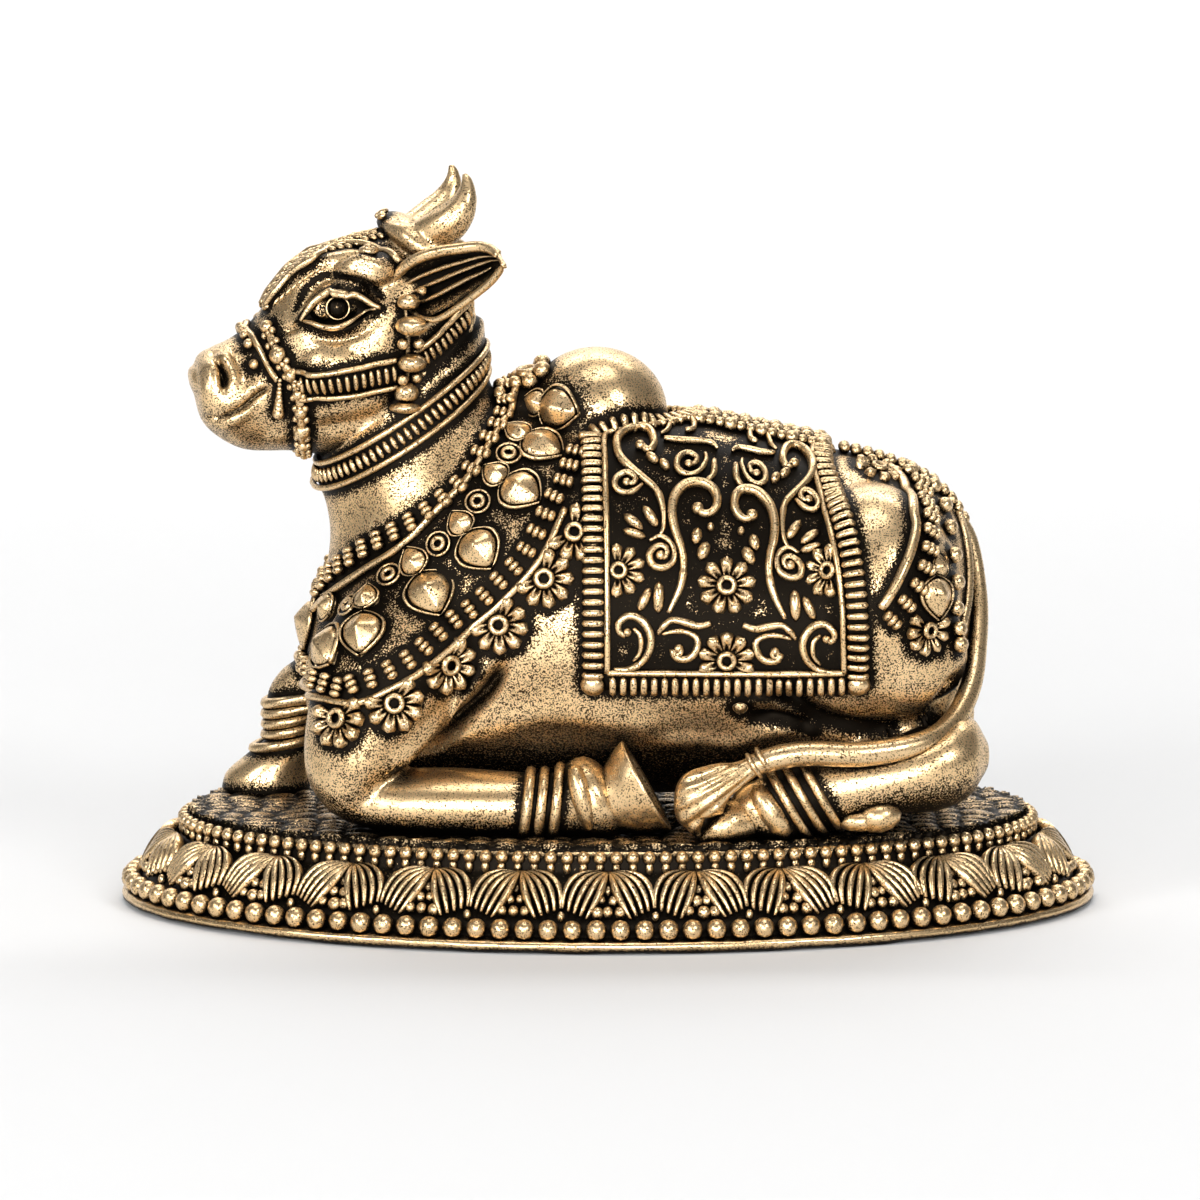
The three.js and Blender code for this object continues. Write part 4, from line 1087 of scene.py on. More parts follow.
def drop_place(u, v):
    a = 2 * u - 1
    shell = max(abs(a), abs(2 * v - 1))
    peak = min(v / 0.42, (1 - v) / 0.58) ** 0.7 if 0 < v < 1 else 0
    high = 0.35 + 1.6 * (1 - abs(a) ** 1.1) * peak
    x = drop_half(v) * a
    y = DROP_LENGTH * (0.42 - 0.96 * v)
    return Vector((x, y, -0.8 if shell > 0.999 else high))


def drop_rim_place(u, v):
    t = 1 - abs(2 * u - 1)
    side = 1 if u > 0.5 else -1
    x, y = side * (drop_half(t) + 0.14), DROP_LENGTH * (0.435 - t)
    turn = 2 * pi * v
    return Vector((x + 0.2 * side * cos(turn), y, 0.2 + 0.36 * sin(turn)))


drop_bm = moved_grid(12, 12, drop_place)
add_to(drop_bm, moved_grid(40, 6, drop_rim_place))
DROP = shape_of(drop_bm)
PETAL_LENGTH = 1.8


def petal_place(u, v):
    across = 2 * u - 1
    half = (0.3 + 0.5 * v ** 0.8) * sqrt(max(0, 1 - max(0, (v - 0.62) / 0.38) ** 2)) + 0.02
    slit = 0.6 * exp(-((across / 0.34) ** 2)) * max(0, 1 - (v / 0.62) ** 2)
    high = 0.85 * sqrt(max(0, 1 - across ** 2)) * (0.6 + 0.4 * sin(pi * min(1, v * 0.9))) - slit
    return Vector((half * across, -PETAL_LENGTH * v, high - 0.12))


PETAL = shape_of(moved_grid(8, 9, petal_place))


def ring_shape(middle, half, high):
    def ring_place(u, v):
        reach = middle + half * cos(2 * pi * v)
        return Vector((reach * cos(2 * pi * u), reach * sin(2 * pi * u), 0.3 + high * sin(2 * pi * v)))

    return shape_of(moved_grid(16, 6, ring_place))


RING = ring_shape(0.66, 0.3, 0.5)
THIN_RING = ring_shape(1.25, 0.13, 0.2)


def set_on(bm, shape, hit, lean, size=1.0, shift=(0, 0, 0), roll=0.0):
    """Sets a shape on the skin with its up side towards a direction."""
    matrix = Matrix(laid(hit[1], lean)).transposed().to_4x4()
    matrix.translation = hit[0]
    own = Matrix.Rotation(roll, 4, "Z") @ Matrix.Translation(shift) @ Matrix.Scale(size, 4)
    stamp(bm, shape, matrix @ own)


def flower(bm, hit, lean, petals, spread, size=1.0):
    """A ring stud with petals round it, or over part of a turn, from its first to its last."""
    set_on(bm, RING, hit, lean, size)
    steps = petals if spread == 2 * pi else petals - 1
    for k in range(petals):
        roll = spread * (k / steps - 0.5)
        set_on(bm, PETAL, hit, lean, size, (0, -0.95, 0), roll)


SMALL_TOPS = [(-28.2, 22.3), (-24.0, 24.0), (-19.7, 27.6), (-15.1, 31.3), (-11.8, 35.7), (-9.6, 39.4),
              (-7.6, 42.0)]
DROP_TIPS = [(-28.2, 16.2), (-24.8, 18.2), (-16.7, 22.2), (-11.7, 27.0), (-7.1, 33.2), (-5.1, 37.4),
             (-3.6, 41.4)]
RING_DOTS = [(-29.8, 21.0), (-25.9, 22.4), (-21.9, 25.5), (-16.9, 28.8), (-13.0, 32.9), (-10.0, 37.3)]
HALF_FLOWERS = [(-26.9, 12.0), (-21.3, 13.7), (-15.9, 17.3), (-10.9, 21.2), (-6.4, 25.8), (-3.4, 30.2)]
drop_middles = []
for side in (-1, 1):
    for (top_x, top_z), (tip_x, tip_z) in zip(SMALL_TOPS, DROP_TIPS):
        small = from_side(body_tree, top_x + 0.16 * (tip_x - top_x), top_z + 0.16 * (tip_z - top_z), side)
        big = from_side(body_tree, top_x + 0.62 * (tip_x - top_x), top_z + 0.62 * (tip_z - top_z), side)
        if small[0] and big[0]:
            lean = small[0] - big[0]
            size = max(0.85, min(1, hypot(top_x - tip_x, top_z - tip_z) / 6.6))
            set_on(necklace, DROP, small, -lean, 0.62 * size, (0, -0.2, 0.3))
            set_on(necklace, DROP, big, lean, size)
            drop_middles += [small[0], big[0]]
    for x, z in RING_DOTS:
        dot = from_side(body_tree, x, z, side)
        set_on(necklace, RING, dot, UP, 0.9)
        set_on(necklace, THIN_RING, dot, UP)
    for k, (x, z) in enumerate(HALF_FLOWERS):
        before, after = HALF_FLOWERS[max(k - 1, 0)], HALF_FLOWERS[min(k + 1, len(HALF_FLOWERS) - 1)]
        lean = Vector((before[1] - after[1], 0, after[0] - before[0]))
        flower(necklace, from_side(body_tree, x, z, side), lean, 7, radians(235), 1.16)
for x, half in ((-10.7, 0.85), (-9.2, 0.75), (-7.8, 1.0), (-6.4, 0.95)):
    for y in (-2.0, 0, 2.0):
        place, normal = from_above(body_tree, x, y)
        bead(necklace, place + normal * 0.45, half)
set_on(necklace, RING, from_above(body_tree, -8.0, -1.0), Vector((1, 0, 0)), 1.4, (0, 0, 0.5))
set_on(necklace, DROP, from_front(body_tree, 19.0), UP)
cast_piece("necklace", necklace, ornament_brass)

# The saddle cloth lies over the back from hem to hem as a thin slab with rounded edges.
CLOTH_FRONT, CLOTH_BACK, CLOTH_AXIS = -2.9, 26.3, 20.0
HEM_ANGLE = radians(109)
HUMP_ROOM, HUMP_SHARE, CLOTH_TAPER = 11.0, 0.93, 4.0
CLOTH_THICKNESS, EDGE_SUNK = 0.55, 0.8


def cloth_spot(u, v):
    """A place under the cloth: u from its front edge to its back, v from the near hem to the far."""
    angle = -HEM_ANGLE + 2 * HEM_ANGLE * v
    out = Vector((0, sin(angle), cos(angle)))
    up = max(0, cos(angle))
    front = CLOTH_FRONT + HUMP_ROOM * max(0, (up - HUMP_SHARE) / (1 - HUMP_SHARE))
    back = CLOTH_BACK - CLOTH_TAPER * up ** 2
    axis = Vector((front + (back - front) * u, 0, CLOTH_AXIS))
    place = body_tree.ray_cast(axis, out)[0]
    return place, out


def cloth_place(u, v):
    place, out = cloth_spot(min(max(u, 0.004), 0.996), min(max(v, 0.003), 0.997))
    inner = max(abs(2 * u - 1), abs(2 * v - 1)) < 0.999
    return place + out * (CLOTH_THICKNESS if inner else -EDGE_SUNK)


cloth = moved_grid(64, 120, cloth_place)
cloth_tree = BVHTree.FromBMesh(cloth)
cloth_brass = brass_finish("cloth ground brass", reach=1.4, painted=True)

# Its border is a row of ridges between a flat inner line and the edge, and the field is filled
# with scrolls, leaves and flowers, mirrored about the middle and repeated on the far side.
relief = bmesh.new()
MIDDLE_X, HEM_HEIGHT = 11.8, 14.5
SCROLLS = [
    ([(3.1, 38.2), (4.0, 37.6), (4.6, 38.2), (4.2, 39.2), (3.1, 39.6), (1.8, 39.4), (0.9, 38.6), (1.0, 37.4),
      (2.0, 36.3), (3.5, 35.2), (4.8, 34.1), (5.4, 32.5), (5.5, 30.8), (5.2, 29.9)], 0.36),
    ([(1.8, 34.8), (2.4, 34.7), (2.7, 35.2), (1.9, 35.7), (0.9, 35.3), (0.6, 34.6), (1.2, 34.0), (2.4, 34.0),
      (3.4, 34.7)], 0.3),
    ([(8.1, 36.3), (8.7, 36.4), (8.8, 36.9), (7.9, 37.3), (7.0, 36.9), (6.9, 36.0), (7.9, 35.4), (9.1, 35.7),
      (9.8, 36.6), (9.7, 37.3)], 0.28),
    ([(10.6, 36.6), (10.5, 35.4), (9.7, 34.7)], 0.28),
    ([(7.8, 39.2), (8.6, 39.3), (8.5, 39.9), (7.4, 40.1), (6.4, 39.9), (6.0, 39.3), (5.3, 39.0)], 0.26),
    ([(5.6, 38.6), (7.4, 38.4), (8.8, 38.3), (10.3, 38.1), (11.0, 37.6)], 0.26),
    ([(8.9, 32.3), (9.5, 31.8), (10.4, 32.0), (10.9, 32.9), (10.5, 34.0), (9.4, 34.6), (7.9, 34.6),
      (6.7, 33.7), (6.3, 32.2), (6.6, 30.5), (7.2, 28.8), (7.5, 27.1), (7.2, 25.1), (6.0, 22.5)], 0.42),
    ([(5.2, 27.9), (5.7, 27.8), (5.8, 28.6), (5.0, 28.9), (4.1, 28.2), (4.4, 27.1), (5.5, 26.8), (6.5, 27.5),
      (6.4, 28.9), (5.2, 29.8), (4.1, 29.4)], 0.32),
    ([(1.7, 20.3), (1.2, 20.5), (1.0, 21.4), (2.0, 22.2), (3.3, 21.8), (4.2, 20.4), (4.1, 18.8), (3.2, 17.5),
      (2.0, 16.9), (0.6, 16.9)], 0.36),
    ([(2.5, 21.0), (3.2, 20.2), (3.2, 18.7), (2.5, 17.7)], 0.24),
    ([(10.2, 21.5), (9.0, 21.2), (7.9, 21.5), (6.4, 21.8), (5.5, 21.2), (4.9, 20.4)], 0.34),
    ([(7.0, 19.3), (7.3, 18.8), (6.9, 18.3), (6.4, 18.9), (6.8, 18.1), (7.9, 18.0), (8.7, 18.7), (8.9, 19.9),
      (7.9, 20.6), (6.6, 20.7), (5.4, 20.4)], 0.32),
]
LEAVES = [(2.5, 31.2, 1.3, 0.42, -45), (4.2, 31.7, 1.4, 0.42, -62), (2.6, 30.1, 1.3, 0.36, -20),
          (8.8, 29.8, 1.0, 0.45, 80), (9.5, 28.4, 1.1, 0.5, 70), (5.0, 24.0, 1.7, 0.48, 88),
          (3.6, 23.8, 1.4, 0.42, 65), (4.4, 37.0, 0.9, 0.36, -60), (5.6, 36.4, 0.8, 0.36, -70),
          (10.2, 30.6, 0.5, 0.3, 90)]
KNOBS = [(3.2, 38.0, 0.42), (1.8, 34.8, 0.36), (8.0, 36.3, 0.36), (8.9, 32.3, 0.5), (5.2, 28.0, 0.42),
         (7.0, 19.0, 0.36), (1.9, 20.6, 0.36)]


def scroll_taper(share):
    if share < 0.8:
        return 0.55 + 0.45 * sin(pi * min(1, 0.12 + 0.95 * share))
    return 0.9 - 2.2 * (share - 0.8)


def spine_height(x):
    """How high the back is, behind the hump."""
    return from_above(body_tree, max(x, 7.0))[0].z


def mirrored(x, z, way):
    """A place of the front half, or its mirror place behind, where the back is lower."""
    if way > 0:
        return x, z
    behind = MIDDLE_X + (MIDDLE_X - x) * (1 - 0.2 * clamp((z - 26) / 10))
    share = (spine_height(behind) - HEM_HEIGHT) / (spine_height(x) - HEM_HEIGHT)
    return behind, HEM_HEIGHT + (z - HEM_HEIGHT) * share


for side in (-1, 1):
    for way in (1, -1):
        for points, half in SCROLLS:
            line = side_line(cloth_tree, [mirrored(x, z, way) for x, z in points], side, 0.3)
            cord(relief, line, 1.3 * half, half * 1.8, lift=0.25, taper=scroll_taper, sides=7)
        for x, z, length, half, tilt in LEAVES:
            hit = from_side(cloth_tree, *mirrored(x, z, way), side)
            if hit[0]:
                lean = Vector((way * cos(radians(tilt)), 0, sin(radians(tilt))))
                bead(relief, hit[0] + hit[1] * 0.15, (1.35 * half, length, 0.7), laid(hit[1], lean))
        for x, z, half in KNOBS:
            hit = from_side(cloth_tree, *mirrored(x, z, way), side)
            if hit[0]:
                bead(relief, hit[0] + hit[1] * 0.35, 1.3 * half)
    flower(relief, from_side(cloth_tree, MIDDLE_X, 25.1, side), UP, 9, 2 * pi, 1.12)
    flower(relief, from_side(cloth_tree, MIDDLE_X, 17.8, side), DOWN, 7, radians(220), 1.1)
    for x, way in ((1.0, -1), (22.0, 1)):
        flower(relief, from_side(cloth_tree, x, 26.6, side), Vector((way, 0, 0)), 6, radians(190))

# The bar of its border is a bead drawn out square
bar = bmesh.new()
bar.from_mesh(ROUND)
for vert in bar.verts:
    vert.co = [0.93 * (1 if c > 0 else -1) * abs(c) ** 0.6 for c in vert.co]
BAR = shape_of(bar)


def border(edge_u, edge_v, start_u, pitch):
    """Lines on the cloth along its front and back edges, and along its two hems from start_u on."""
    many = np.linspace(0, 1, 49)
    ways = [[(u, edge_v + (1 - 2 * edge_v) * t) for t in many] for u in (edge_u, 1 - edge_u)]
    ways += [[(start_u + (1 - 2 * start_u) * t, v) for t in many] for v in (edge_v, 1 - edge_v)]
    for way in ways:
        spots = [cloth_spot(u, v) for u, v in way]
        yield line_on(cloth_tree, [place + out * CLOTH_THICKNESS for place, out in spots], pitch)


BORDER_U, BORDER_V = 0.048, 0.017
INNER_U, INNER_V = 0.096, 0.036
for line, half_length in zip(border(BORDER_U, BORDER_V, 0.08, 0.26), (1.25, 1.25, 1.15, 1.15)):
    for spot in range(4, len(line) - 3, 4):
        bead_on(relief, line, spot, (half_length, 0.42, 0.7), 0, 0.2, BAR)
for line in border(INNER_U, INNER_V, INNER_U, 0.5):
    cord(relief, line, 0.38, 0.55, lift=0.15)
for u in (BORDER_U, 1 - BORDER_U):
    for v in (BORDER_V, 1 - BORDER_V):
        place, out = cloth_spot(u, v)
        bead(relief, place + out * 0.6, (1.3, 0.95, 1.15))

# A spray of beads lies along the spine
for k in range(26):
    share = k / 25
    x = 9.2 + 13.0 * share
    for y in (-1.6, 1.6, 0.0) if k % 2 else (-3.0, 3.0):
        hit = from_above(cloth_tree, x, y)
        if hit[0]:
            bead(relief, hit[0] + hit[1] * 0.4, 0.62 + 0.2 * (k % 3 == 0))

# A small drop hangs under the hem on each side
for side in (-1, 1):
    set_on(relief, DROP, from_side(body_tree, 13.2, 12.8, side), UP, 0.26)
cloth_relief = cast_piece("cloth_relief", relief, ornament_brass)

# The rump harness: smooth straps, rows of beads, a drop and flowers, and a string down the spine.
rump = bmesh.new()
STRAP = [(28.6, 35.6), (29.9, 33.9), (30.5, 32.2), (30.7, 30.7), (30.2, 28.7), (29.3, 26.7),
         (28.2, 24.6), (27.1, 23.0)]
TRIPLES = [(29.8, 36.0), (31.0, 34.4), (31.7, 33.1), (32.1, 31.3), (32.0, 29.4), (31.7, 27.5),
           (30.9, 25.3), (29.5, 23.4), (27.6, 21.3)]
OUTER_BEADS = [(32.9, 33.0), (33.9, 31.4), (34.3, 29.5), (34.5, 27.3), (34.7, 24.8), (34.6, 22.3),
               (34.9, 20.2), (35.0, 18.8)]
SECOND_STRAP = [(32.4, 33.9), (34.1, 32.6), (35.2, 31.0), (35.9, 29.2), (36.3, 27.1), (36.4, 24.4),
                (36.1, 21.9), (35.6, 20.2)]
for side in (-1, 1):
    cord(rump, side_line(body_tree, STRAP, side, 0.5), 0.55, 0.5)
    triple_beads(rump, side_line(body_tree, TRIPLES, side, 0.42))
    for x, z in OUTER_BEADS:
        hit = from_side(body_tree, x, z, side)
        if hit[0]:
            bead(rump, hit[0] + hit[1] * 0.35, 0.85)
    cord(rump, side_line(body_tree, SECOND_STRAP, side, 0.5), 0.5, 0.5)
    small, big = from_side(body_tree, 33.1, 26.6, side), from_side(body_tree, 32.7, 24.0, side)
    set_on(rump, DROP, small, DOWN, 0.45)
    set_on(rump, DROP, big, UP, 0.8)
    flower(rump, from_side(body_tree, 31.9, 20.6, side), Vector((0.2, 0, 1)), 7, radians(230), 0.95)
    flower(rump, from_side(body_tree, 27.4, 35.2, side), Vector((0.2, 0, 1)), 8, 2 * pi, 0.9)
spine = [from_above(body_tree, x)[0] for x in (24.0, 27.0, 30.0, 33.0, 35.0)]
spine += [from_behind(body_tree, z)[0] for z in (31.5, 29.0)]
spine_line = line_on(body_tree, spine, 0.6)
for spot in range(0, len(spine_line), 2):
    for across in (-0.8, 0.8):
        bead_on(rump, spine_line, spot, (0.62, 0.62, 0.62), across, 0.45)
cast_piece("rump_harness", rump, ornament_brass)

# Anklets: three plain rings above the hoof of each folded leg, and five on the standing far
# foreleg. They are raised on the casting.
anklets = bmesh.new()
LEG_REACH, LEG_HALF = 7.0, 3.6


def leg_ring(centre, axis, half, across=(0, 1, 0)):
    """A ring laid round a leg where a plane through its middle cuts the skin."""
    axis = Vector(axis).normalized()
    over = (Vector(across) - axis * axis.dot(Vector(across))).normalized()
    up = axis.cross(over)
    line = []
    for k in range(41):
        turn = 2 * pi * k / 40
        out = over * cos(turn) + up * sin(turn)
        place = body_tree.ray_cast(Vector(centre), out, LEG_REACH)[0]
        if place is None:
            place = Vector(centre) + out * LEG_HALF
        line.append((place, out, up * cos(turn) - over * sin(turn)))
    cord(anklets, line, half, half * 1.1, lift=0.1)


for x in (-8.1, -6.7, -5.2):
    leg_ring((x, -17.0, 3.2), (1, 0, -0.12), 0.6)
for z in (9.7, 8.6, 7.5, 6.4, 5.2):
    leg_ring((-33.0, 9.2, z), (-0.22, 0, 1), 0.6, across=(1, 0, 0))
for side in (-1, 1):
    for x, z in ((18.0, 4.2), (19.6, 4.5), (21.3, 4.8)):
        leg_ring((x, side * 18.0, z - 0.6), (0.85, 0, 0.5), 0.5)
cast_piece("anklets", anklets, polished_brass)

# The near fore hoof is a cone with a thin rim round a hollow sole, and the hind hooves are blunt.
# Small lobes lie behind them. All are cast with the legs.
FORE_HOOF = [
    [0.4, 0.6, -0.8, 6.4, 3.0, -17.5],
    [2.4, 0.2, 0.0, 7.6, 3.5, -17.5],
    [4.4, 0.2, 0.6, 8.7, 4.0, -17.5],
    [6.3, 0.5, 1.3, 9.5, 4.4, -17.5],
]
HIND_HOOF = [
    [14.8, 0.4, 13.0, 4.0, 1.8, -19.8],
    [13.2, -0.2, 11.6, 3.8, 2.4, -20.0],
    [11.4, -0.5, 10.2, 2.8, 2.5, -20.0],
    [10.0, -0.5, 9.4, 1.6, 2.0, -20.0],
]
LOBES = [(-2.6, 20.0, 4.2, 1.25, 1.9, 3.6, 14), (16.2, 20.6, 2.9, 1.5, 2.0, 3.2, 33),
         (27.0, 19.4, 2.2, 1.65, 1.9, 2.3, -80), (25.2, 19.3, 1.8, 1.2, 1.7, 2.4, -85)]
hooves = bmesh.new()


def add_hoof(bm, stations):
    """A cone over ovals whose far end turns in to a hollow sole."""
    rows = smooth_rows(stations, 5)
    middle, half = (rows[:, 0:2] + rows[:, 2:4]) / 2, (rows[:, 2:4] - rows[:, 0:2]) / 2
    step = middle[-1] - middle[-2]
    step = step / hypot(*step)
    order = [(0, 0.02, 0.0), (0, 0.6, 0.0)] + [(k, 1.0, 0.0) for k in range(len(rows))]
    sole = ((0.96, 0.12), (0.86, -0.1), (0.8, -0.7), (0.02, -0.9))
    order += [(len(rows) - 1, size, out) for size, out in sole]

    def place(u, v):
        i, size, out = order[round(v * (len(order) - 1))]
        turn = 2 * pi * u
        x, z = middle[i] + half[i] * size * sin(turn) + step * out
        return Vector((x, rows[i, 5] + rows[i, 4] * size * cos(turn), z))

    add_closed(bm, moved_grid(32, len(order) - 1, place))


add_hoof(hooves, FORE_HOOF)
for side in (-1, 1):
    add_form(hooves, [[*row[:5], side * -row[5]] for row in HIND_HOOF], tip=0.5, sides=24)
    for x, y, z, half, deep, high, tilt in LOBES if side < 0 else LOBES[1:]:
        upright = Vector((-sin(radians(tilt)), 0, cos(radians(tilt))))
        aside = Vector((0, 1, 0))
        bead(hooves, Vector((x, side * y, z)), (half, deep, high), (upright.cross(aside), aside, upright))
cast_piece("hooves", hooves, polished_brass)

# The tail runs down from the rump, round the haunch and along the near hind leg to a hair tuft.
TAIL = [
    [34.0, 0, 31.3, 0.95, 0.95],
    [36.6, -1.6, 28.0, 0.95, 0.95],
    [37.6, -4.4, 22.5, 0.95, 0.95],
    [37.4, -7.6, 18.0, 1.0, 1.0],
    [36.5, -11.3, 14.0, 1.1, 1.1],
    [34.4, -15.0, 10.9, 1.15, 1.15],
    [31.2, -18.4, 9.4, 1.2, 1.2],
    [25.6, -20.4, 8.7, 1.25, 1.25],
    [19.8, -21.2, 8.9, 1.25, 1.25],
    [16.6, -21.6, 8.5, 1.2, 1.2],
    [14.2, -21.8, 7.7, 1.1, 1.1],
]
TUFT = [
    [14.8, -21.8, 7.9, 0.9, 0.9],
    [12.8, -21.9, 6.9, 1.3, 1.3],
    [10.9, -22.0, 6.1, 1.7, 2.0],
    [9.3, -22.0, 4.8, 1.8, 2.75],
    [8.4, -21.9, 3.1, 1.5, 1.9],
    [8.6, -21.8, 1.7, 1.0, 0.9],
    [8.9, -21.8, 0.8, 0.4, 0.35],
]
HAIR_WIDTH = 0.7
tail = bmesh.new()
add_limb(tail, TAIL, sides=18, steps=10)
tuft = bmesh.new()
add_limb(tuft, TUFT, sides=72, steps=12)
root, fall = Vector((14.8, 0, 7.9)), Vector((-6.0, 0, -4.4)).normalized()
for vert in tuft.verts:
    reach = vert.co - root
    sideways = reach.x * fall.z - reach.z * fall.x
    down = reach.dot(fall)
    spread = sideways / (0.6 + 0.16 * max(0, down))
    way = 1 if vert.co.y > -21.9 else -1
    vert.co.y += 0.13 * min(1, down / 3) * cos(2 * pi * spread / HAIR_WIDTH) * way
add_to(tail, tuft)
tail_way = Vector((-0.84, 0, -0.54))
tie_place, tie_half = Vector((14.9, -21.8, 8.1)), (0.42, 1.5, 1.5)
tie_axes = (tail_way, Vector((0, 1, 0)), Vector((0.54, 0, -0.84)))
for shift in (-0.55, 0.55):
    bead(tail, tie_place + tail_way * shift, tie_half, tie_axes)
cast_piece("tail", tail, polished_brass)

bull_body = cast_piece("bull_body", skin, body_brass)
bull_head = cast_piece("bull_head", head_skin, head_brass)
saddle_cloth = cast_piece("saddle_cloth", cloth, cloth_brass)
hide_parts("nandi_on_lotus_base")

# The dark patina was rubbed off the open brass and stays round every ornament. Painted shade is
# added to it on surfaces that face down, low where the skin meets the base, and along the folds.
# Both are kept on the skins as one attribute, with another for how bright they were polished.
WASH_REACH = 0.75


def tree_of(places):
    tree = KDTree(len(places))
    for i, place in enumerate(places):
        tree.insert(place, i)
    tree.balance()
    return tree


def paint_patina_and_shade(piece, ornaments, ground, reach=WASH_REACH, marks=(), share=lambda co, normal: 1.0):
    """Paints the dark patina near the ornaments, painted shade on surfaces that face down and low where
    the skin meets the base, and darkening along the marks. A mark is its places, in the bull's own
    height, and how far the darkening spreads from them. Share is how much of it stays."""
    places = np.concatenate([np.array([v.co for v in o.data.vertices]) for o in ornaments]) * 1000
    near = [(tree_of(places), reach)]
    near += [(tree_of([spot + UP * BASE_HEIGHT for spot in spots]), spread) for spots, spread in marks]

    def shade(co, normal):
        # Painted shade: surfaces that face down are darkened, more so low on the skin.
        under = clamp(-normal.z) * min(0.8, max(0.25, (9.5 + BASE_HEIGHT - co.z) / 3))
        # Painted shade where the skin comes down to the base.
        shade_at_base = 0.75 * exp(-((max(0, co.z - BASE_HEIGHT) / 1.1) ** 2))
        closest = min(tree.find(co)[2] / spread for tree, spread in near)
        return share(co, normal) * min(1, max(ground, under, shade_at_base, 0.95 * exp(-(closest ** 2))))

    paint(piece, "wash", shade)


def crease(tree, pairs, turned=False):
    """Close places along a crease on both sides."""
    found = []
    for side in (-1, 1):
        found += [place for place, *_ in side_line(tree, pairs, side, 0.3, turned)]
    return found


def body_polish(co, normal):
    low = 1 - clamp((co.z - BASE_HEIGHT - 6) / 3)
    hump = exp(-(((co.x + 1.2) ** 2 + (co.z - BASE_HEIGHT - 44) ** 2) / 40))
    haunch = 0.5 * clamp((co.x - 24) / 4)
    return 0.12 + 0.36 * max(low, hump, haunch)


def ear_front(co, normal):
    """1 on the cup of an ear, which opens to its own side, and little on its back."""
    outward_part = normal.y if co.y > 0 else -normal.y
    return min(1, max(0.15, 0.5 + 3 * outward_part))


ORNAMENTS = ("head_harness", "necklace", "cloth_relief", "rump_harness", "anklets", "eyelids", "eyeballs")
around = [bpy.data.objects[name] for name in ORNAMENTS]
# Along the haunch and belly folds the skin gets painted shade with patina; round the drops of the necklace
# it gets patina.
creases = crease(body_tree, HAUNCH_FOLD) + crease(body_tree, BELLY_FOLD)
paint_patina_and_shade(bull_body, around + [saddle_cloth], 0.0, marks=[(creases, 1.0), (drop_middles, 3.2)])
paint(bull_body, "polish", body_polish)
# The lid and brow creases get painted shade with patina along them.
lid_creases = crease(head_tree, LID_CREASE, True) + crease(head_tree, BROW_CREASE, True)
paint_patina_and_shade(bull_head, around, 0.0, marks=[(lid_creases, 0.4)])
paint(bull_head, "polish", 0.3)
paint_patina_and_shade(saddle_cloth, [cloth_relief], 0.1, 1.15)
paint(saddle_cloth, "polish", 0.2)
paint_patina_and_shade(ear_cups, [bpy.data.objects["ear_rims"]], 0.0, 1.0, share=ear_front)
paint(ear_cups, "polish", 0.6)

# The stage: a pale sweep of paper under soft lamps, and the camera of the photograph.
# None of it is part of the figure.
TARGET = Vector((-0.82, 0, 30.82)) / 1000
ELEVATION = radians(8.3)
DISTANCE = 0.650
LENS, SENSOR = 190.5, 36
SWEEP_WIDTH, SWEEP_LENGTH, SWEEP_RADIUS = 3.0, 3.2, 0.6
FLOOR_FRONT, FLOOR_LENGTH = -1.2, 1.6
PAPER_GREY, PAPER_ROUGHNESS, ROOM_LIGHT = 0.705, 0.8, 0.12


def sweep_place(u, v):
    width = (u - 0.5) * SWEEP_WIDTH
    run = v * SWEEP_LENGTH
    if run < FLOOR_LENGTH:
        return Vector((width, FLOOR_FRONT + run, 0))
    turn = min((run - FLOOR_LENGTH) / SWEEP_RADIUS, pi / 2)
    rise = max(0, run - FLOOR_LENGTH - SWEEP_RADIUS * pi / 2)
    back = FLOOR_FRONT + FLOOR_LENGTH + SWEEP_RADIUS * sin(turn)
    return Vector((width, back, SWEEP_RADIUS * (1 - cos(turn)) + rise))


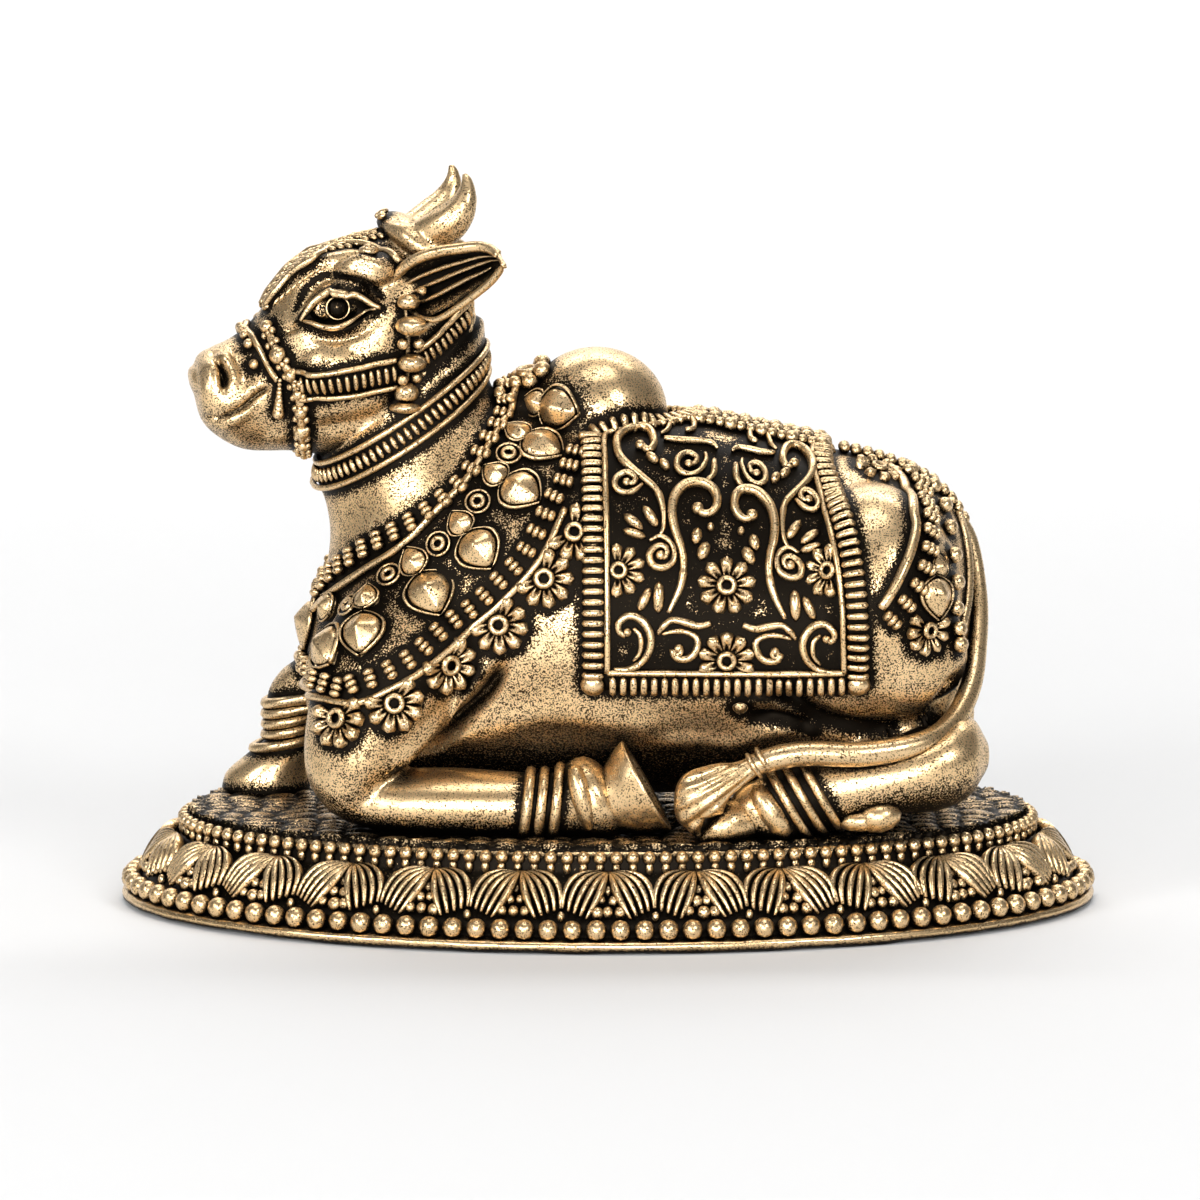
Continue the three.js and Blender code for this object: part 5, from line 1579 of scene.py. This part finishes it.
paper = moved_grid(2, 60, sweep_place)
paper_mesh = bpy.data.meshes.new("paper_sweep")
paper.to_mesh(paper_mesh)
paper.free()
paper_mesh.polygons.foreach_set("use_smooth", [True] * len(paper_mesh.polygons))
sweep = in_scene("paper_sweep", paper_mesh)
paper_white = bpy.data.materials.new("paper white")
paper_white.use_nodes = True
paper_shader = paper_white.node_tree.nodes["Principled BSDF"]
paper_shader.inputs["Base Color"].default_value = (PAPER_GREY, PAPER_GREY, PAPER_GREY, 1)
paper_shader.inputs["Roughness"].default_value = PAPER_ROUGHNESS
paper_mesh.materials.append(paper_white)
sweep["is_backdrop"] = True

world = bpy.data.worlds.new("soft room")
bpy.context.scene.world = world
world.use_nodes = True
world.node_tree.nodes["Background"].inputs["Color"].default_value = (1, 1, 1, 1)
world.node_tree.nodes["Background"].inputs["Strength"].default_value = ROOM_LIGHT


def soft_lamp(name, place, size, power, aim=TARGET):
    data = bpy.data.lights.new(name, "AREA")
    data.shape = "RECTANGLE"
    data.size, data.size_y = size
    data.energy = power
    lamp = in_scene(name, data)
    lamp.location = place
    lamp.rotation_euler = (Vector(aim) - Vector(place)).to_track_quat("-Z", "Y").to_euler()


soft_lamp("overhead_lamp", (0.05, -0.1, 0.75), (0.45, 0.3), 1.5)
soft_lamp("left_lamp", (-0.6, -0.6, 0.4), (0.22, 0.35), 3.2)
soft_lamp("right_lamp", (0.5, -0.65, 0.5), (0.22, 0.3), 2.8)
soft_lamp("front_lamp", (-0.1, -1.1, 0.25), (0.8, 0.45), 10.5)
soft_lamp("backdrop_lamp", (0.0, 0.7, 1.1), (1.4, 0.4), 14, (0, 1.1, 0.2))
bpy.context.scene.view_settings.view_transform = "Standard"

camera_data = bpy.data.cameras.new("camera")
camera_data.lens = LENS
camera_data.sensor_width = SENSOR
camera = in_scene("camera", camera_data)
camera.location = TARGET + DISTANCE * Vector((0, -cos(ELEVATION), sin(ELEVATION)))
camera.rotation_euler = (pi / 2 - ELEVATION, 0, 0)
bpy.context.scene.camera = camera

boxes = {"cad": cad_box, "visual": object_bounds()}
{name: [list(corner) for corner in box] for name, box in boxes.items()}
